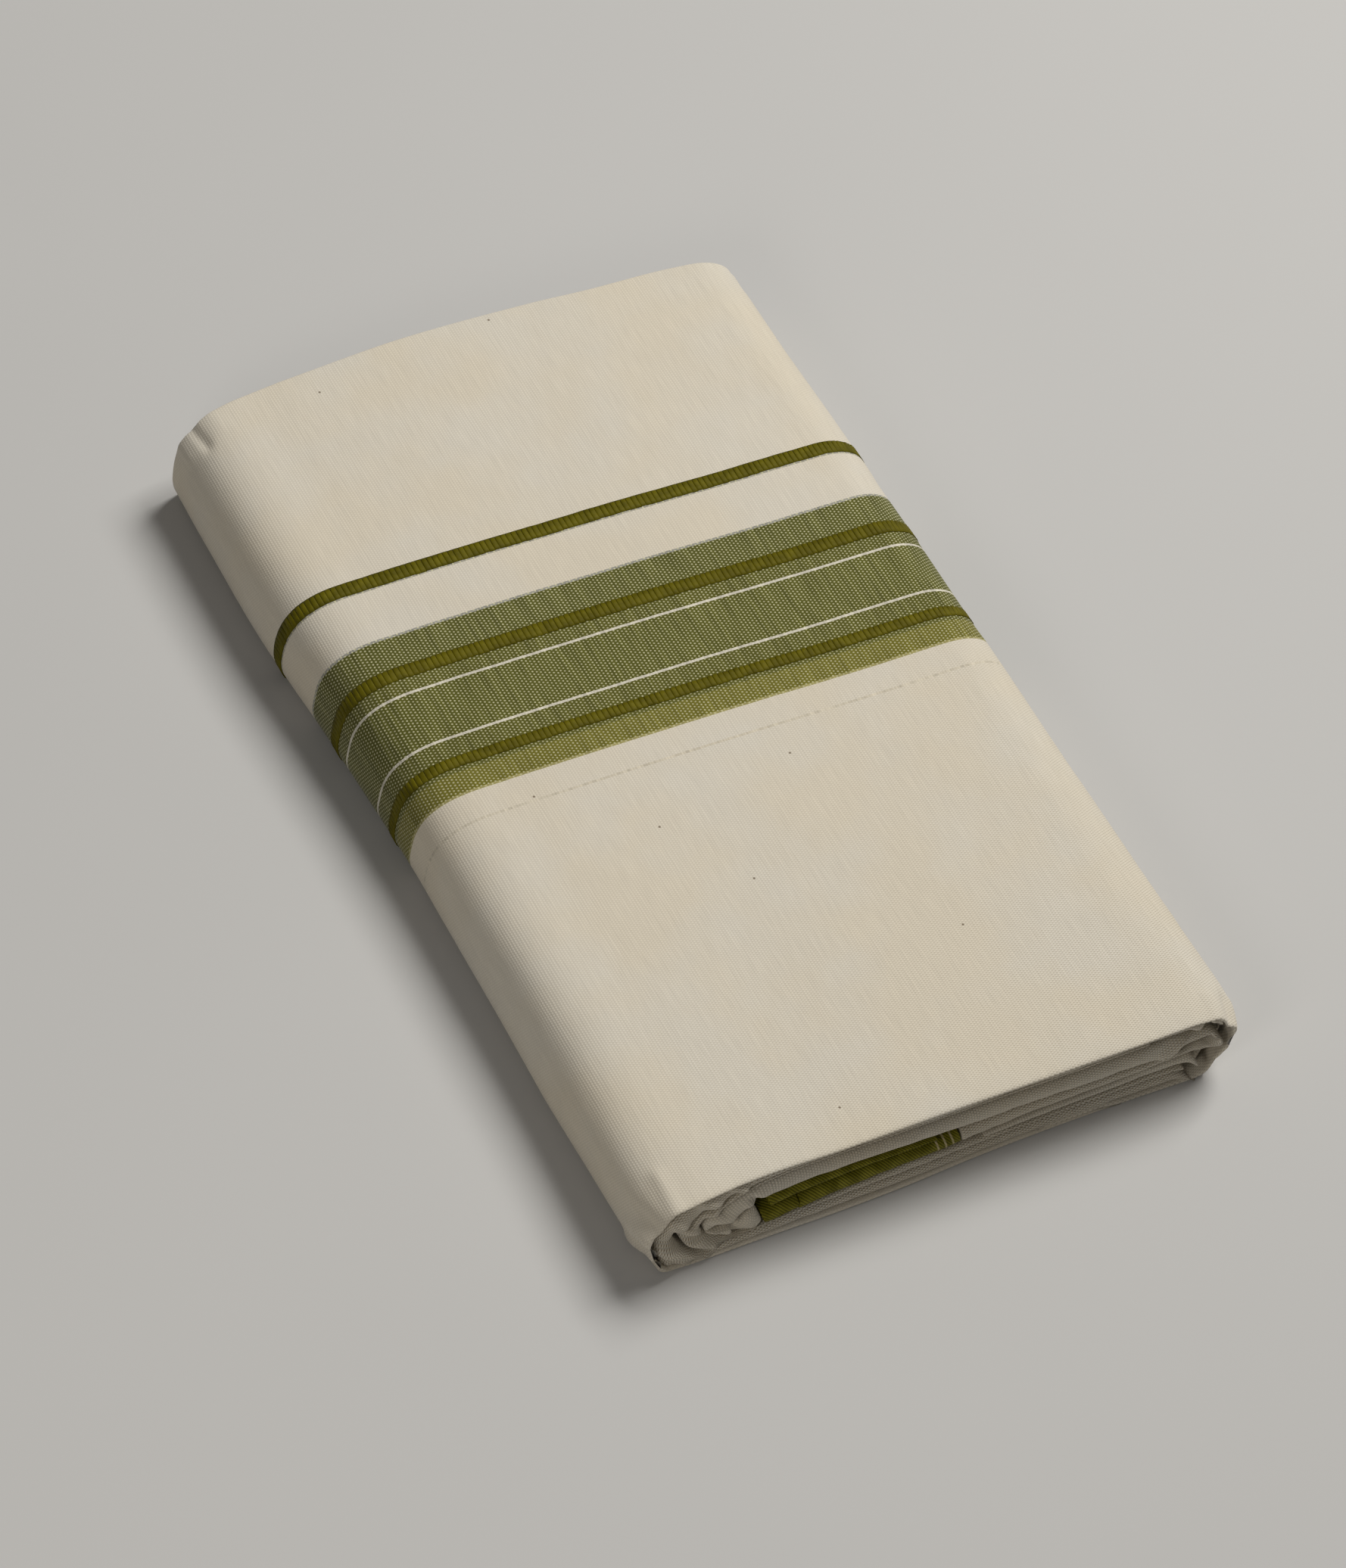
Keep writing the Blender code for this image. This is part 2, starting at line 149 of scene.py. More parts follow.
def sectionPath(t, inset):
    # from the cloth's end under the packet, round the left side, over the top, down the right
    # side, and back under it to the lap
    left, right = sideWidth("left", t) - inset, sideWidth("right", t) - inset
    top = topHeight(t) - inset
    leftZ, rightZ = settle(packet["leftWidest"], t), packet["rightWidest"]
    leftBase = settle(packet["leftBase"], t) - inset
    rightBase = settle(packet["rightBase"], t) - inset
    leftIn, leftPower = packet["leftTop"]
    rightIn, rightPower = packet["rightTop"]
    leftIn, rightIn = leftIn - inset, rightIn - inset
    start, foot = packet["lapEdge"], packet["lapEdge"] + packet["lapSlope"]
    lift = packet["wall"] + packet["gap"]
    path = [(lerp(foot - 0.5, -left + leftBase, i / steps["under"]), inset)
            for i in range(steps["under"])]
    path += quarter(-left + leftBase, leftZ, leftBase, leftZ - inset, 270, steps["leftBase"])[:-1]
    path += quarter(-left + leftIn, leftZ, leftIn, top - leftZ, 180, steps["leftTop"],
                    leftPower)[:-1]
    edgeCrown = crown(right - rightIn, t)
    for i in range(steps["top"] + 1):
        share = i / steps["top"]
        x = lerp(-left + leftIn, right - rightIn, share)
        path.append((x, top + (crown(x, t) - edgeCrown) * min(1.0, share * 12)))
    path += quarter(right - rightIn, rightZ, rightIn, top - rightZ, 90, steps["rightTop"],
                    rightPower)[1:]
    path += quarter(right - rightBase, rightZ, rightBase, rightZ - inset, 0,
                    steps["rightBase"])[1:]
    path += [(lerp(right - rightBase, foot, i / steps["foot"]), inset)
             for i in range(1, steps["foot"] + 1)]
    for i in range(1, steps["slope"] + 1):
        share = i / steps["slope"]
        path.append((lerp(foot, start, share), inset + lift * share * share * (3 - 2 * share)))
    path += [(start - packet["lapLength"] * i / steps["lap"], inset + lift)
             for i in range(1, steps["lap"] + 1)]
    return path


def normalsOf(points):
    # unit normals to the left of the way along, in the plane of the section
    ahead = np.roll(points, -1, axis=0)
    behind = np.roll(points, 1, axis=0)
    ahead[-1], behind[0] = points[-1], points[0]
    along = ahead - behind
    along /= np.linalg.norm(along, axis=1)[:, None]
    return np.stack([-along[:, 1], along[:, 0]], axis=1)


def lengthsOf(points):
    return np.concatenate([[0.0], np.cumsum(np.linalg.norm(np.diff(points, axis=0), axis=1))])


def catmull(p0, p1, p2, p3, t):
    # a smooth curve through p1 and p2
    return tuple(0.5 * (2 * b + (c - a) * t + (2 * a - 5 * b + 4 * c - d) * t * t
                        + (3 * b - a - 3 * c + d) * t ** 3) for a, b, c, d in zip(p0, p1, p2, p3))


def smoothRows(rows, spacing):
    points = []
    for i in range(len(rows) - 1):
        before, after = rows[max(i - 1, 0)], rows[min(i + 2, len(rows) - 1)]
        gap = math.dist(rows[i][:2], rows[i + 1][:2])
        count = max(2, round(gap / spacing))
        points += [catmull(before, rows[i], rows[i + 1], after, k / count) for k in range(count)]
    return points + [tuple(rows[-1])]


def addObject(name, data):
    thing = bpy.data.objects.new(name, data)
    bpy.context.scene.collection.objects.link(thing)
    return thing


def tubeFaces(rings, ring, capped=True):
    # the faces between rings of points, and one over each end
    faces = []
    for r in range(rings - 1):
        for k in range(ring):
            a, b = r * ring + k, r * ring + (k + 1) % ring
            faces.append((a, b, b + ring, a + ring))
    if capped:
        faces += [tuple(r * ring + k for k in range(ring)) for r in (0, rings - 1)]
    return faces


def makePiece(name, points, faces, material, uvs):
    mesh = bpy.data.meshes.new(name)
    mesh.from_pydata([tuple(c * mm for c in p) for p in points], [], faces)
    layer = mesh.uv_layers.new(name="cloth")
    corners = np.empty(len(mesh.loops), dtype=np.int32)
    mesh.loops.foreach_get("vertex_index", corners)
    layer.data.foreach_set("uv", (np.asarray(uvs)[corners] * mm).ravel())
    bm = bmesh.new()
    bm.from_mesh(mesh)
    bmesh.ops.recalc_face_normals(bm, faces=bm.faces)
    bm.to_mesh(mesh)
    bm.free()
    mesh.shade_smooth()
    mesh.materials.append(material)
    return addObject(name, mesh)


def addNode(tree, kind, links=None, **settings):
    # Adds a node, sets it up and links it. A link is a value, a node or (node, output). The kind
    # may end in an operation, and one without a prefix is of the tree's own. Mixes are of colours.
    kind, _, operation = kind.partition(" ")
    prefix = "GeometryNode" if tree.type == "GEOMETRY" else "ShaderNode"
    node = tree.nodes.new(kind if "Node" in kind else prefix + kind)
    if operation:
        node.operation = operation
    if kind == "Mix":
        node.data_type = "RGBA"
    for key, value in settings.items():
        setattr(node, key, value)
    for key, value in (links or {}).items():
        if isinstance(value, bpy.types.Node):
            tree.links.new(value.outputs[0], node.inputs[key])
        elif isinstance(value, tuple) and isinstance(value[0], bpy.types.Node):
            tree.links.new(value[0].outputs[value[1]], node.inputs[key])
        else:
            node.inputs[key].default_value = value
    return node


def startMaterial(name):
    material = bpy.data.materials.new(name)
    material.use_nodes = True
    return material, material.node_tree, material.node_tree.nodes["Principled BSDF"]


def setSurface(shader, look):
    # the values that are the same all over a finish
    shader.inputs["Roughness"].default_value = look["roughness"]
    shader.inputs["Sheen Weight"].default_value = look["sheen"]
    shader.inputs["Sheen Roughness"].default_value = look["sheenRoughness"]
    shader.inputs["Specular IOR Level"].default_value = look["specular"]


def hexColour(text):
    # sRGB hex to linear
    values = [int(text[i:i + 2], 16) / 255 for i in (1, 3, 5)]
    linear = [v / 12.92 if v <= 0.04045 else ((v + 0.055) / 1.055) ** 2.4 for v in values]
    return (*linear, 1.0)


# Plain hand-woven cotton, unbleached: matt, warm, fine lines along the packet where the weft
# threads lie, small dark openings between threads
cottonLook = {
    "cream": "#DAD2C1",
    "warmPatch": "#D3C7AE",
    "coolPatch": "#D2CDC0",
    "opening": "#8D8068",
    "fleck": "#5D4A34",
    "paleWeft": "#CFCBA4",
    "weftPitch": 0.88,      # mm, two yarns lie together in one shed
    "warpPitch": 0.42,      # drawn coarser than the real 0.25 so that it shows in the render
    "threadWander": 0.14,   # mm
    "wanderScale": 220.0,   # per metre, so it changes over 4.5 mm
    "borderCoarser": 1.3,   # the border's dots are a third coarser, so that they show
    "threadRise": 0.12,     # mm
    "patchScale": 26.0,     # per metre: patches about 38 mm across
    "slubScale": (1500.0, 90.0, 1.0),       # slubs 0.7 mm wide and 11 mm long
    "streakScale": (620.0, 45.0, 1.0),      # streaks 1.6 mm wide and 22 mm long
    "fleckScale": 24.0,     # a fleck about every 42 mm
    "pullOpen": (0.6, -0.8, 0.0),           # the weave opens a little more this way
    "sheen": 0.18,
    "sheenRoughness": 0.5,
    "specular": 0.2,
    "roughness": 0.9,
    # dark specks of seed husk: (round, along) in mm
    "specks": ((16, -28), (33, -103), (-33, -39), (-16, -66),
               (-62, -15.5), (-32, -148), (10, 160), (-52, 151)),
}
# The side border's warp stripes, seen from the near side (mm along the packet), as
# (from, to, colour, how much the pale weft shows through)
borderStripes = (
    (-17.4, -16.5, "#CCC3AF", 0.0),
    (-7.0, -6.2, "#9A925C", 0.8),
    (-6.2, 1.2, "#6D6820", 0.75),
    (1.2, 2.8, "#5A591D", 0.7),
    (2.8, 6.7, "#403B04", 0.0),
    (6.7, 13.2, "#565518", 0.75),
    (13.2, 14.0, "#CFC9B8", 0.0),
    (14.1, 32.7, "#565619", 0.8),
    (32.7, 33.5, "#CFC9B8", 0.0),
    (33.6, 38.9, "#565518", 0.75),
    (38.9, 43.6, "#403B04", 0.0),
    (43.6, 54.4, "#55551C", 0.82),
    (54.4, 55.3, "#98968C", 1.0),
    (73.1, 73.9, "#A09C8E", 1.0),
    (73.9, 78.9, "#403B04", 0.0),
)
borderFrom, borderTo = -25.0, 85.0
creamHere = hexColour(cottonLook["cream"])


def weavePattern(tree, coarser=1.0):
    # plain weave on the cloth's own UV: above 0 a weft thread is on top, below 0 a warp thread
    look = cottonLook
    cloth = addNode(tree, "UVMap", uv_map="cloth")
    wander = addNode(tree, "TexNoise", {"Vector": cloth, "Scale": look["wanderScale"],
                                        "Detail": 3.0})
    drift = addNode(tree, "VectorMath SUBTRACT", {0: (wander, "Color"), 1: (0.5, 0.5, 0.5)})
    size = 2 * look["threadWander"] * mm
    drift = addNode(tree, "VectorMath MULTIPLY", {0: drift, 1: (size, size, 0.0)})
    spot = addNode(tree, "VectorMath ADD", {0: cloth, 1: drift})
    turn = (math.pi / (look["weftPitch"] * coarser * mm),
            math.pi / (look["warpPitch"] * coarser * mm), 1.0)
    phase = addNode(tree, "VectorMath MULTIPLY", {0: spot, 1: turn})
    phase = addNode(tree, "SeparateXYZ", {0: phase})
    across = addNode(tree, "Math COSINE", {0: (phase, 0)})
    along = addNode(tree, "Math COSINE", {0: (phase, 1)})
    weave = addNode(tree, "Math MULTIPLY", {0: across, 1: along})
    lines = addNode(tree, "Math MULTIPLY", {0: across, 1: across})
    return cloth, spot, weave, lines


def makeCotton(name, gaps, shade, relief=0.4, border=False):
    look = cottonLook
    material, tree, shader = startMaterial(name)
    cloth, spot, weave, lines = weavePattern(tree)
    place = addNode(tree, "TexCoord")
    # warm and cool patches a few cm across, then slubs a thread wide and a few mm long
    patches = addNode(tree, "TexNoise", {"Vector": (place, "Object"), "Scale": look["patchScale"],
                                         "Detail": 3.0})
    patches = addNode(tree, "MapRange", {0: patches, 1: 0.38, 2: 0.62})
    tint = addNode(tree, "Mix", {0: patches, 6: hexColour(look["coolPatch"]),
                                 7: hexColour(look["warmPatch"])})
    tint = addNode(tree, "Mix", {0: 0.35, 6: creamHere, 7: (tint, 2)})
    stretch = addNode(tree, "VectorMath MULTIPLY", {0: spot, 1: look["slubScale"]})
    slubs = addNode(tree, "TexNoise", {"Vector": stretch, "Scale": 1.0, "Detail": 2.0})
    slubs = addNode(tree, "MapRange", {0: slubs, 1: 0.3, 2: 0.7, 3: 0.955, 4: 1.035})
    if border:
        along = addNode(tree, "SeparateXYZ", {0: spot})
        ramp = addNode(tree, "ValToRGB")
        where = addNode(tree, "MapRange", {0: (along, 1), 1: borderFrom * mm, 2: borderTo * mm})
        tree.links.new(where.outputs[0], ramp.inputs[0])
        paintStripes(ramp.color_ramp)
        # the pale weft takes the dye unevenly, so the border is streaked along the packet
        streaks = addNode(tree, "VectorMath MULTIPLY", {0: spot, 1: look["streakScale"]})
        streaks = addNode(tree, "TexNoise", {"Vector": streaks, "Scale": 1.0, "Detail": 3.0})
        streaks = addNode(tree, "MapRange", {0: streaks, 1: 0.3, 2: 0.7, 3: 0.82, 4: 1.2})
        ramped = addNode(tree, "Mix", {0: 1.0, 6: (ramp, "Color"), 7: streaks},
                         blend_type="MULTIPLY")
        _, _, dotted, rows = weavePattern(tree, look["borderCoarser"])
        dots = addNode(tree, "Math MULTIPLY_ADD", {0: rows, 1: 1.2, 2: dotted})
        dots = addNode(tree, "Math MULTIPLY", {0: dots, 1: streaks})
        dots = addNode(tree, "MapRange", {0: dots, 1: 0.65, 2: 1.9},
                       interpolation_type="SMOOTHSTEP")
        dots = addNode(tree, "Math MULTIPLY", {0: dots, 1: (ramp, "Alpha")})
        ramped = addNode(tree, "Mix", {0: dots, 6: (ramped, 2), 7: hexColour(look["paleWeft"])})
        inCream = addNode(tree, "Math GREATER_THAN", {0: (ramp, "Alpha"), 1: 0.999})
        tint = addNode(tree, "Mix", {0: inCream, 6: (ramped, 2), 7: (tint, 2)})
    # the openings between threads
    holes = addNode(tree, "MapRange", {0: weave, 1: -0.1, 2: -0.8, 4: gaps},
                    interpolation_type="SMOOTHSTEP")
    # the cloth is pulled open a little more towards the near right
    openness = addNode(tree, "VectorMath DOT_PRODUCT", {0: cloth, 1: look["pullOpen"]})
    openness = addNode(tree, "MapRange", {0: (openness, "Value"), 1: 0.0, 2: 0.17, 3: 0.7, 4: 2.2})
    holes = addNode(tree, "Math MULTIPLY", {0: holes, 1: openness})
    if border:
        holes = addNode(tree, "Math MULTIPLY", {0: holes, 1: inCream})
    colour = addNode(tree, "Mix", {0: holes, 6: (tint, 2), 7: hexColour(look["opening"])})
    between = addNode(tree, "MapRange", {0: lines, 1: 0.0, 2: 0.5, 3: shade, 4: 1.0},
                      interpolation_type="SMOOTHSTEP")
    slubs = addNode(tree, "Math MULTIPLY", {0: slubs, 1: between})
    colour = addNode(tree, "Mix", {0: 1.0, 6: (colour, 2), 7: slubs}, blend_type="MULTIPLY")
    # a seed fleck here and there, then the larger specks of the top
    flecks = addNode(tree, "TexVoronoi", {"Vector": (place, "Object"),
                                          "Scale": look["fleckScale"]})
    flecks = addNode(tree, "MapRange", {0: flecks, 1: 0.008, 2: 0.003})
    colour = addNode(tree, "Mix", {0: flecks, 6: (colour, 2), 7: hexColour(look["fleck"])})
    if border:
        for x, y in look["specks"]:
            away = addNode(tree, "VectorMath DISTANCE", {0: cloth, 1: (x * mm, y * mm, 0.0)})
            fleck = addNode(tree, "MapRange", {0: (away, "Value"), 1: 0.5 * mm, 2: 0.25 * mm,
                                               4: 0.8})
            colour = addNode(tree, "Mix", {0: fleck, 6: (colour, 2), 7: hexColour(look["fleck"])})
    tree.links.new(colour.outputs[2], shader.inputs["Base Color"])
    # threads stand up by under a tenth of a millimetre
    height = addNode(tree, "Math MULTIPLY_ADD", {0: weave, 1: 0.5, 2: 0.5})
    height = addNode(tree, "Math MULTIPLY_ADD", {0: lines, 1: 0.8, 2: height})
    bump = addNode(tree, "Bump", {"Height": height, "Strength": relief,
                                  "Distance": look["threadRise"] * mm})
    tree.links.new(bump.outputs[0], shader.inputs["Normal"])
    setSurface(shader, look)
    return material


def paintStripes(ramp):
    # full alpha is plain cloth; in a stripe alpha is how much the pale weft shows through
    ramp.interpolation = "CONSTANT"
    stops = [(borderFrom, creamHere, 1.0)]
    for low, high, text, pale in borderStripes:
        if low - stops[-1][0] < 0.15:      # two stripes that touch
            stops.pop()
        stops += [(low, hexColour(text), pale * 0.9), (high, creamHere, 1.0)]
    ramp.elements.remove(ramp.elements[-1])
    for i, (where, tone, alpha) in enumerate(stops):
        share = (where - borderFrom) / (borderTo - borderFrom)
        element = ramp.elements[0] if i == 0 else ramp.elements.new(share)
        element.position = share
        element.color = (tone[0], tone[1], tone[2], alpha)


# Mercerised green cotton, ribbed: olive with a low sheen on the ribs, and painted shade in the
# troughs between them
greenLook = {
    "olive": "#6C6711",
    "light": "#8A8428",
    # the dark olive that is painted into the troughs between ribs as shade
    "paintedTroughShade": "#343305",
    "ribDark": "#544E02",
    "ribLight": "#665F08",
    "cream": "#B3A67C",
    "ribPitch": 1.0,        # mm, as are the next and the bars
    "ribRise": 0.12,
    "ribSlant": -0.8,
    "bars": (0.2, 2.8, 5.3),        # cream lines: the place across of each, at floor height
    "barLean": 0.28,
    "barWidth": (0.2, 0.42),
    "blotchScale": 260.0,   # per metre: blotches about 4 mm across
    "sheen": 0.0,
    "sheenRoughness": 0.5,
    "specular": 0.12,
    "roughness": 0.62,
}


def makeGreen(name, tones=("olive", "light"), ribbed=True, barred=False):
    look = greenLook
    material, tree, shader = startMaterial(name)
    place = addNode(tree, "TexCoord")
    blotches = addNode(tree, "TexNoise", {"Vector": (place, "Object"),
                                          "Scale": look["blotchScale"], "Detail": 3.0})
    blotches = addNode(tree, "MapRange", {0: blotches, 1: 0.35, 2: 0.65})
    colour = addNode(tree, "Mix", {0: blotches, 6: hexColour(look[tones[0]]),
                                   7: hexColour(look[tones[1]])})
    if ribbed:
        cloth = addNode(tree, "UVMap", uv_map="cloth")
        parts = addNode(tree, "SeparateXYZ", {0: cloth})
        slant = addNode(tree, "Math MULTIPLY_ADD", {0: (parts, 1), 1: look["ribSlant"],
                                                    2: (parts, 0)})
        ribs = addNode(tree, "Math MULTIPLY", {0: slant, 1: 2 * math.pi / (look["ribPitch"] * mm)})
        ribs = addNode(tree, "Math COSINE", {0: ribs})
        # painted shade: where the rib bump is low, the colour is mixed towards a dark olive, as if
        # the troughs were shadowed
        dark = addNode(tree, "MapRange", {0: ribs, 1: 0.3, 2: -0.9, 4: 0.7})
        colour = addNode(tree, "Mix", {0: dark, 6: (colour, 2), 7: hexColour(look["paintedTroughShade"])})
        bump = addNode(tree, "Bump", {"Height": ribs, "Strength": 0.5,
                                      "Distance": look["ribRise"] * mm})
        tree.links.new(bump.outputs[0], shader.inputs["Normal"])
    if barred:
        # three slanted lines of cream yarn near the end of the tier
        spot = addNode(tree, "SeparateXYZ", {0: (place, "Object")})
        lean = addNode(tree, "Math MULTIPLY_ADD", {0: (spot, 2), 1: look["barLean"], 2: (spot, 0)})
        inside, outside = look["barWidth"]
        for bar in look["bars"]:
            away = addNode(tree, "Math SUBTRACT", {0: lean, 1: bar * mm})
            away = addNode(tree, "Math ABSOLUTE", {0: away})
            inBar = addNode(tree, "MapRange", {0: away, 1: outside * mm, 2: inside * mm})
            colour = addNode(tree, "Mix", {0: inBar, 6: (colour, 2), 7: hexColour(look["cream"])})
    tree.links.new(colour.outputs[2], shader.inputs["Base Color"])
    setSurface(shader, look)
    return material


wrapCotton = makeCotton("unbleached_cotton_with_woven_border", 0.26, 0.93, border=True)
foldCotton = makeCotton("unbleached_cotton_open_weave", 0.7, 0.72, relief=0.9)
greenCotton = makeGreen("green_ribbed_cotton")
barredCotton = makeGreen("green_ribbed_cotton_with_cream_lines", barred=True)
ribCotton = makeGreen("green_border_rib_yarn", ("ribDark", "ribLight"), ribbed=False)
print("finishes made")

# the outer turn of the cloth
wrapSpec = {
    "rimDepth": 1.3,
    "rimRings": 9,
    "rowSpacing": 1.6,
    "nearDroop": 0.35,       # the top sheet rolls down a little at its near edge
    "droopFrom": 2.0,
    "droopLength": 3.0,
    "wave": 0.1,             # the whole turn waves this little
    "waveLengths": (9.0, 23.0, 17.0),       # round and along, then along, over 2 pi
    "stiffBelow": 6.0,       # folds fade out below this height, so the underside stays flat
    "innerEvery": 4,         # the inner side has a point for each of so many outer ones
    # stripes lie a little skew: how far each lies from its place at the middle, by place across
    "skew": ((-110, -70, -50, 0, 50, 85, 120), (2.9, 2.25, 1.5, 0.0, -1.65, -2.0, -2.4)),
}
# Soft folds in the outer turn: from (round, along) to (round, along), half width and height, in
# mm. Round is measured on the cloth from the middle of the top, negative to the left.
wrapFolds = (
    (-91, -163, -90, -146, 2.4, 0.75),
    (-97, -164, -101, -152, 3, -1.3),
    (-103, -163, -109, -149, 2, 1.4),
    (-108, -164, -113, -153, 2, -1.8),
    (-113, -163, -119, -147, 2.2, 1.3),
    (-118.5, -166, -118.5, -159, 6.5, -3.2),
    (-104, -146, -112, -120, 5, -0.35),
    (-96, -120, -99, -60, 7, -0.25),
    (-110, -95, -112, -20, 6, 0.25),
    (-103, -10, -106, 60, 6, -0.3),
    (-112, 70, -109, 140, 6, 0.25),
    (-94, 163, -92, 149, 1.7, -1),
    (-100, 163, -99, 150, 2.2, 0.5),
    (-87, 163, -86, 152, 2.5, 0.35),
    (-40, -140, -20, -60, 12, -0.18),
    (30, -150, 55, -70, 11, -0.16),
    (-10, 80, 20, 150, 14, -0.2),
    (60, 60, 70, 140, 10, 0.15),
    (87.5, -164, 88, -154, 2.6, 0.8),
    (94, -165, 95, -155, 2.4, -1.2),
    (99.5, -165, 99.5, -155, 2.2, 0.5),
    (105.5, -166, 104.5, -157, 2, -2.4),
    (111, -165, 111, -156, 2, -0.9),
    (116, -166, 116, -157, 3.5, -2.6),
    (84, -150, 88, -60, 5, -0.3),
    (96, -120, 99, -10, 5, 0.3),
    (104, -60, 101, 60, 5, -0.4),
    (92, 20, 95, 120, 6, -0.25),
    (108, 60, 110, 150, 4, 0.35),
    (99, 150, 97, 163, 2, -0.5),
)


def foldHeights(across, along, folds, hollow=0.0):
    # how far the cloth stands up or dips at each place, for a list of folds
    total = np.zeros_like(across)
    for r0, a0, r1, a1, width, height in folds:
        dr, da = r1 - r0, a1 - a0
        share = np.clip(((across - r0) * dr + (along - a0) * da) / (dr * dr + da * da), 0, 1)
        away = np.hypot(across - r0 - share * dr, along - a0 - share * da)
        total += height * np.exp(-(away / width) ** 2)
        if hollow:
            # a pinch: the cloth dips beside the ridge
            side = ((across - r0) * da - (along - a0) * dr) / math.hypot(dr, da)
            past = np.maximum(away ** 2 - side ** 2, 0) / width ** 2
            total -= hollow * height * np.exp(-(side / width - 1.7) ** 2 - past)
    return total


def makeWrap():
    spec = wrapSpec
    full = 2 * packet["halfLength"]
    half = packet["wall"] / 2
    under = steps["under"]
    # both edges of the wall are rounded
    rim = [(spec["rimDepth"] * (1 - math.cos(a)) / full, math.sin(a))
           for a in np.linspace(0.12, math.pi / 2, spec["rimRings"])]
    start, end = rim[-1][0], 1 - rim[-1][0]
    count = round((end - start) * full / spec["rowSpacing"])
    rows = rim + [(lerp(start, end, i / count), 1.0) for i in range(1, count)]
    rows += [(1 - t, share) for t, share in reversed(rim)]
    waveRound, waveAlong, swell = spec["waveLengths"]
    outerGrid, points, uvs = [], [], []
    for t, share in rows:
        path = np.array(sectionPath(t, half))
        lengths = lengthsOf(path)
        around = lengths - np.interp(0.0, path[overTop, 0], lengths[overTop])
        along = np.array([lerp(nearEdge(x, z), farEdge(x), t) for x, z in path])
        normal = normalsOf(path)
        lift = foldHeights(around, along, wrapFolds)
        lift += (spec["wave"] * np.sin(around / waveRound + along / waveAlong)
                 * np.sin(along / swell + 1.1))
        fromNear = np.maximum(along + packet["halfLength"] - spec["droopFrom"], 0)
        lift -= spec["nearDroop"] * np.exp(-fromNear / spec["droopLength"])
        lift *= np.clip(path[:, 1] / spec["stiffBelow"], 0, 1)
        centre = path + normal * lift[:, None]
        # the free end thins out under the lap, so the underside stays flat
        thin = np.ones(len(path))
        foot = packet["lapEdge"] + packet["lapSlope"]
        thin[:under] = np.clip((foot - path[:under, 0]) / packet["lapSlope"], 0.06, 1)
        centre[:under, 1] *= thin[:under]
        walls = [centre + normal * (way * half * share * thin)[:, None] for way in (1, -1)]
        outer, inner = (np.stack([c[:, 0], along, np.maximum(c[:, 1], 0.0)], 1) for c in walls)
        skew = np.array([readTable(*spec["skew"], r) for r in around])
        cloth = np.stack([around, along - skew], 1)
        inwards = slice(None, None, spec["innerEvery"])
        outerGrid.append(outer)
        points += list(outer) + list(inner[inwards][::-1])
        uvs += list(cloth) + list(cloth[inwards][::-1])
    outerCount, ring = len(outer), len(points) // len(rows)
    innerCount = ring - outerCount
    faces = tubeFaces(len(rows), ring, capped=False)
    for base in (0, (len(rows) - 1) * ring):
        innerAt = [base + ring - 1 - k for k in range(innerCount)]
        for k in range(innerCount):
            first = k * spec["innerEvery"]
            last = min(first + spec["innerEvery"], outerCount - 1)
            faces += [(base + j, base + j + 1, innerAt[k]) for j in range(first, last)]
            if k < innerCount - 1:
                faces.append((base + last, innerAt[k + 1], innerAt[k]))
    return makePiece("wrap_cloth", points, faces, wrapCotton, uvs), np.array(outerGrid)


wrapCloth, wrapColumns = makeWrap()
print("outer turn made:", len(wrapCloth.data.polygons), "faces")

# ribs of the three thick stripes, set round the packet by Geometry Nodes, in mm
ribSpec = {
    "pitch": 1.76,
    "thick": 1.84,
    "rise": 0.27,
    "narrowing": (0.46, 0.54),      # half thickness at the far and near end, for a bar 1 thick
    "uneven": ((0.96, 0.95, 0.8), (1.04, 1.04, 1.15)),      # least and most size of a rib
    "seed": 7,
    # place along the packet at the middle, and how long each rib is
    "stripes": {"narrow": (76.4, 4.7), "farther": (41.25, 4.7), "nearer": (4.75, 3.9)},
}


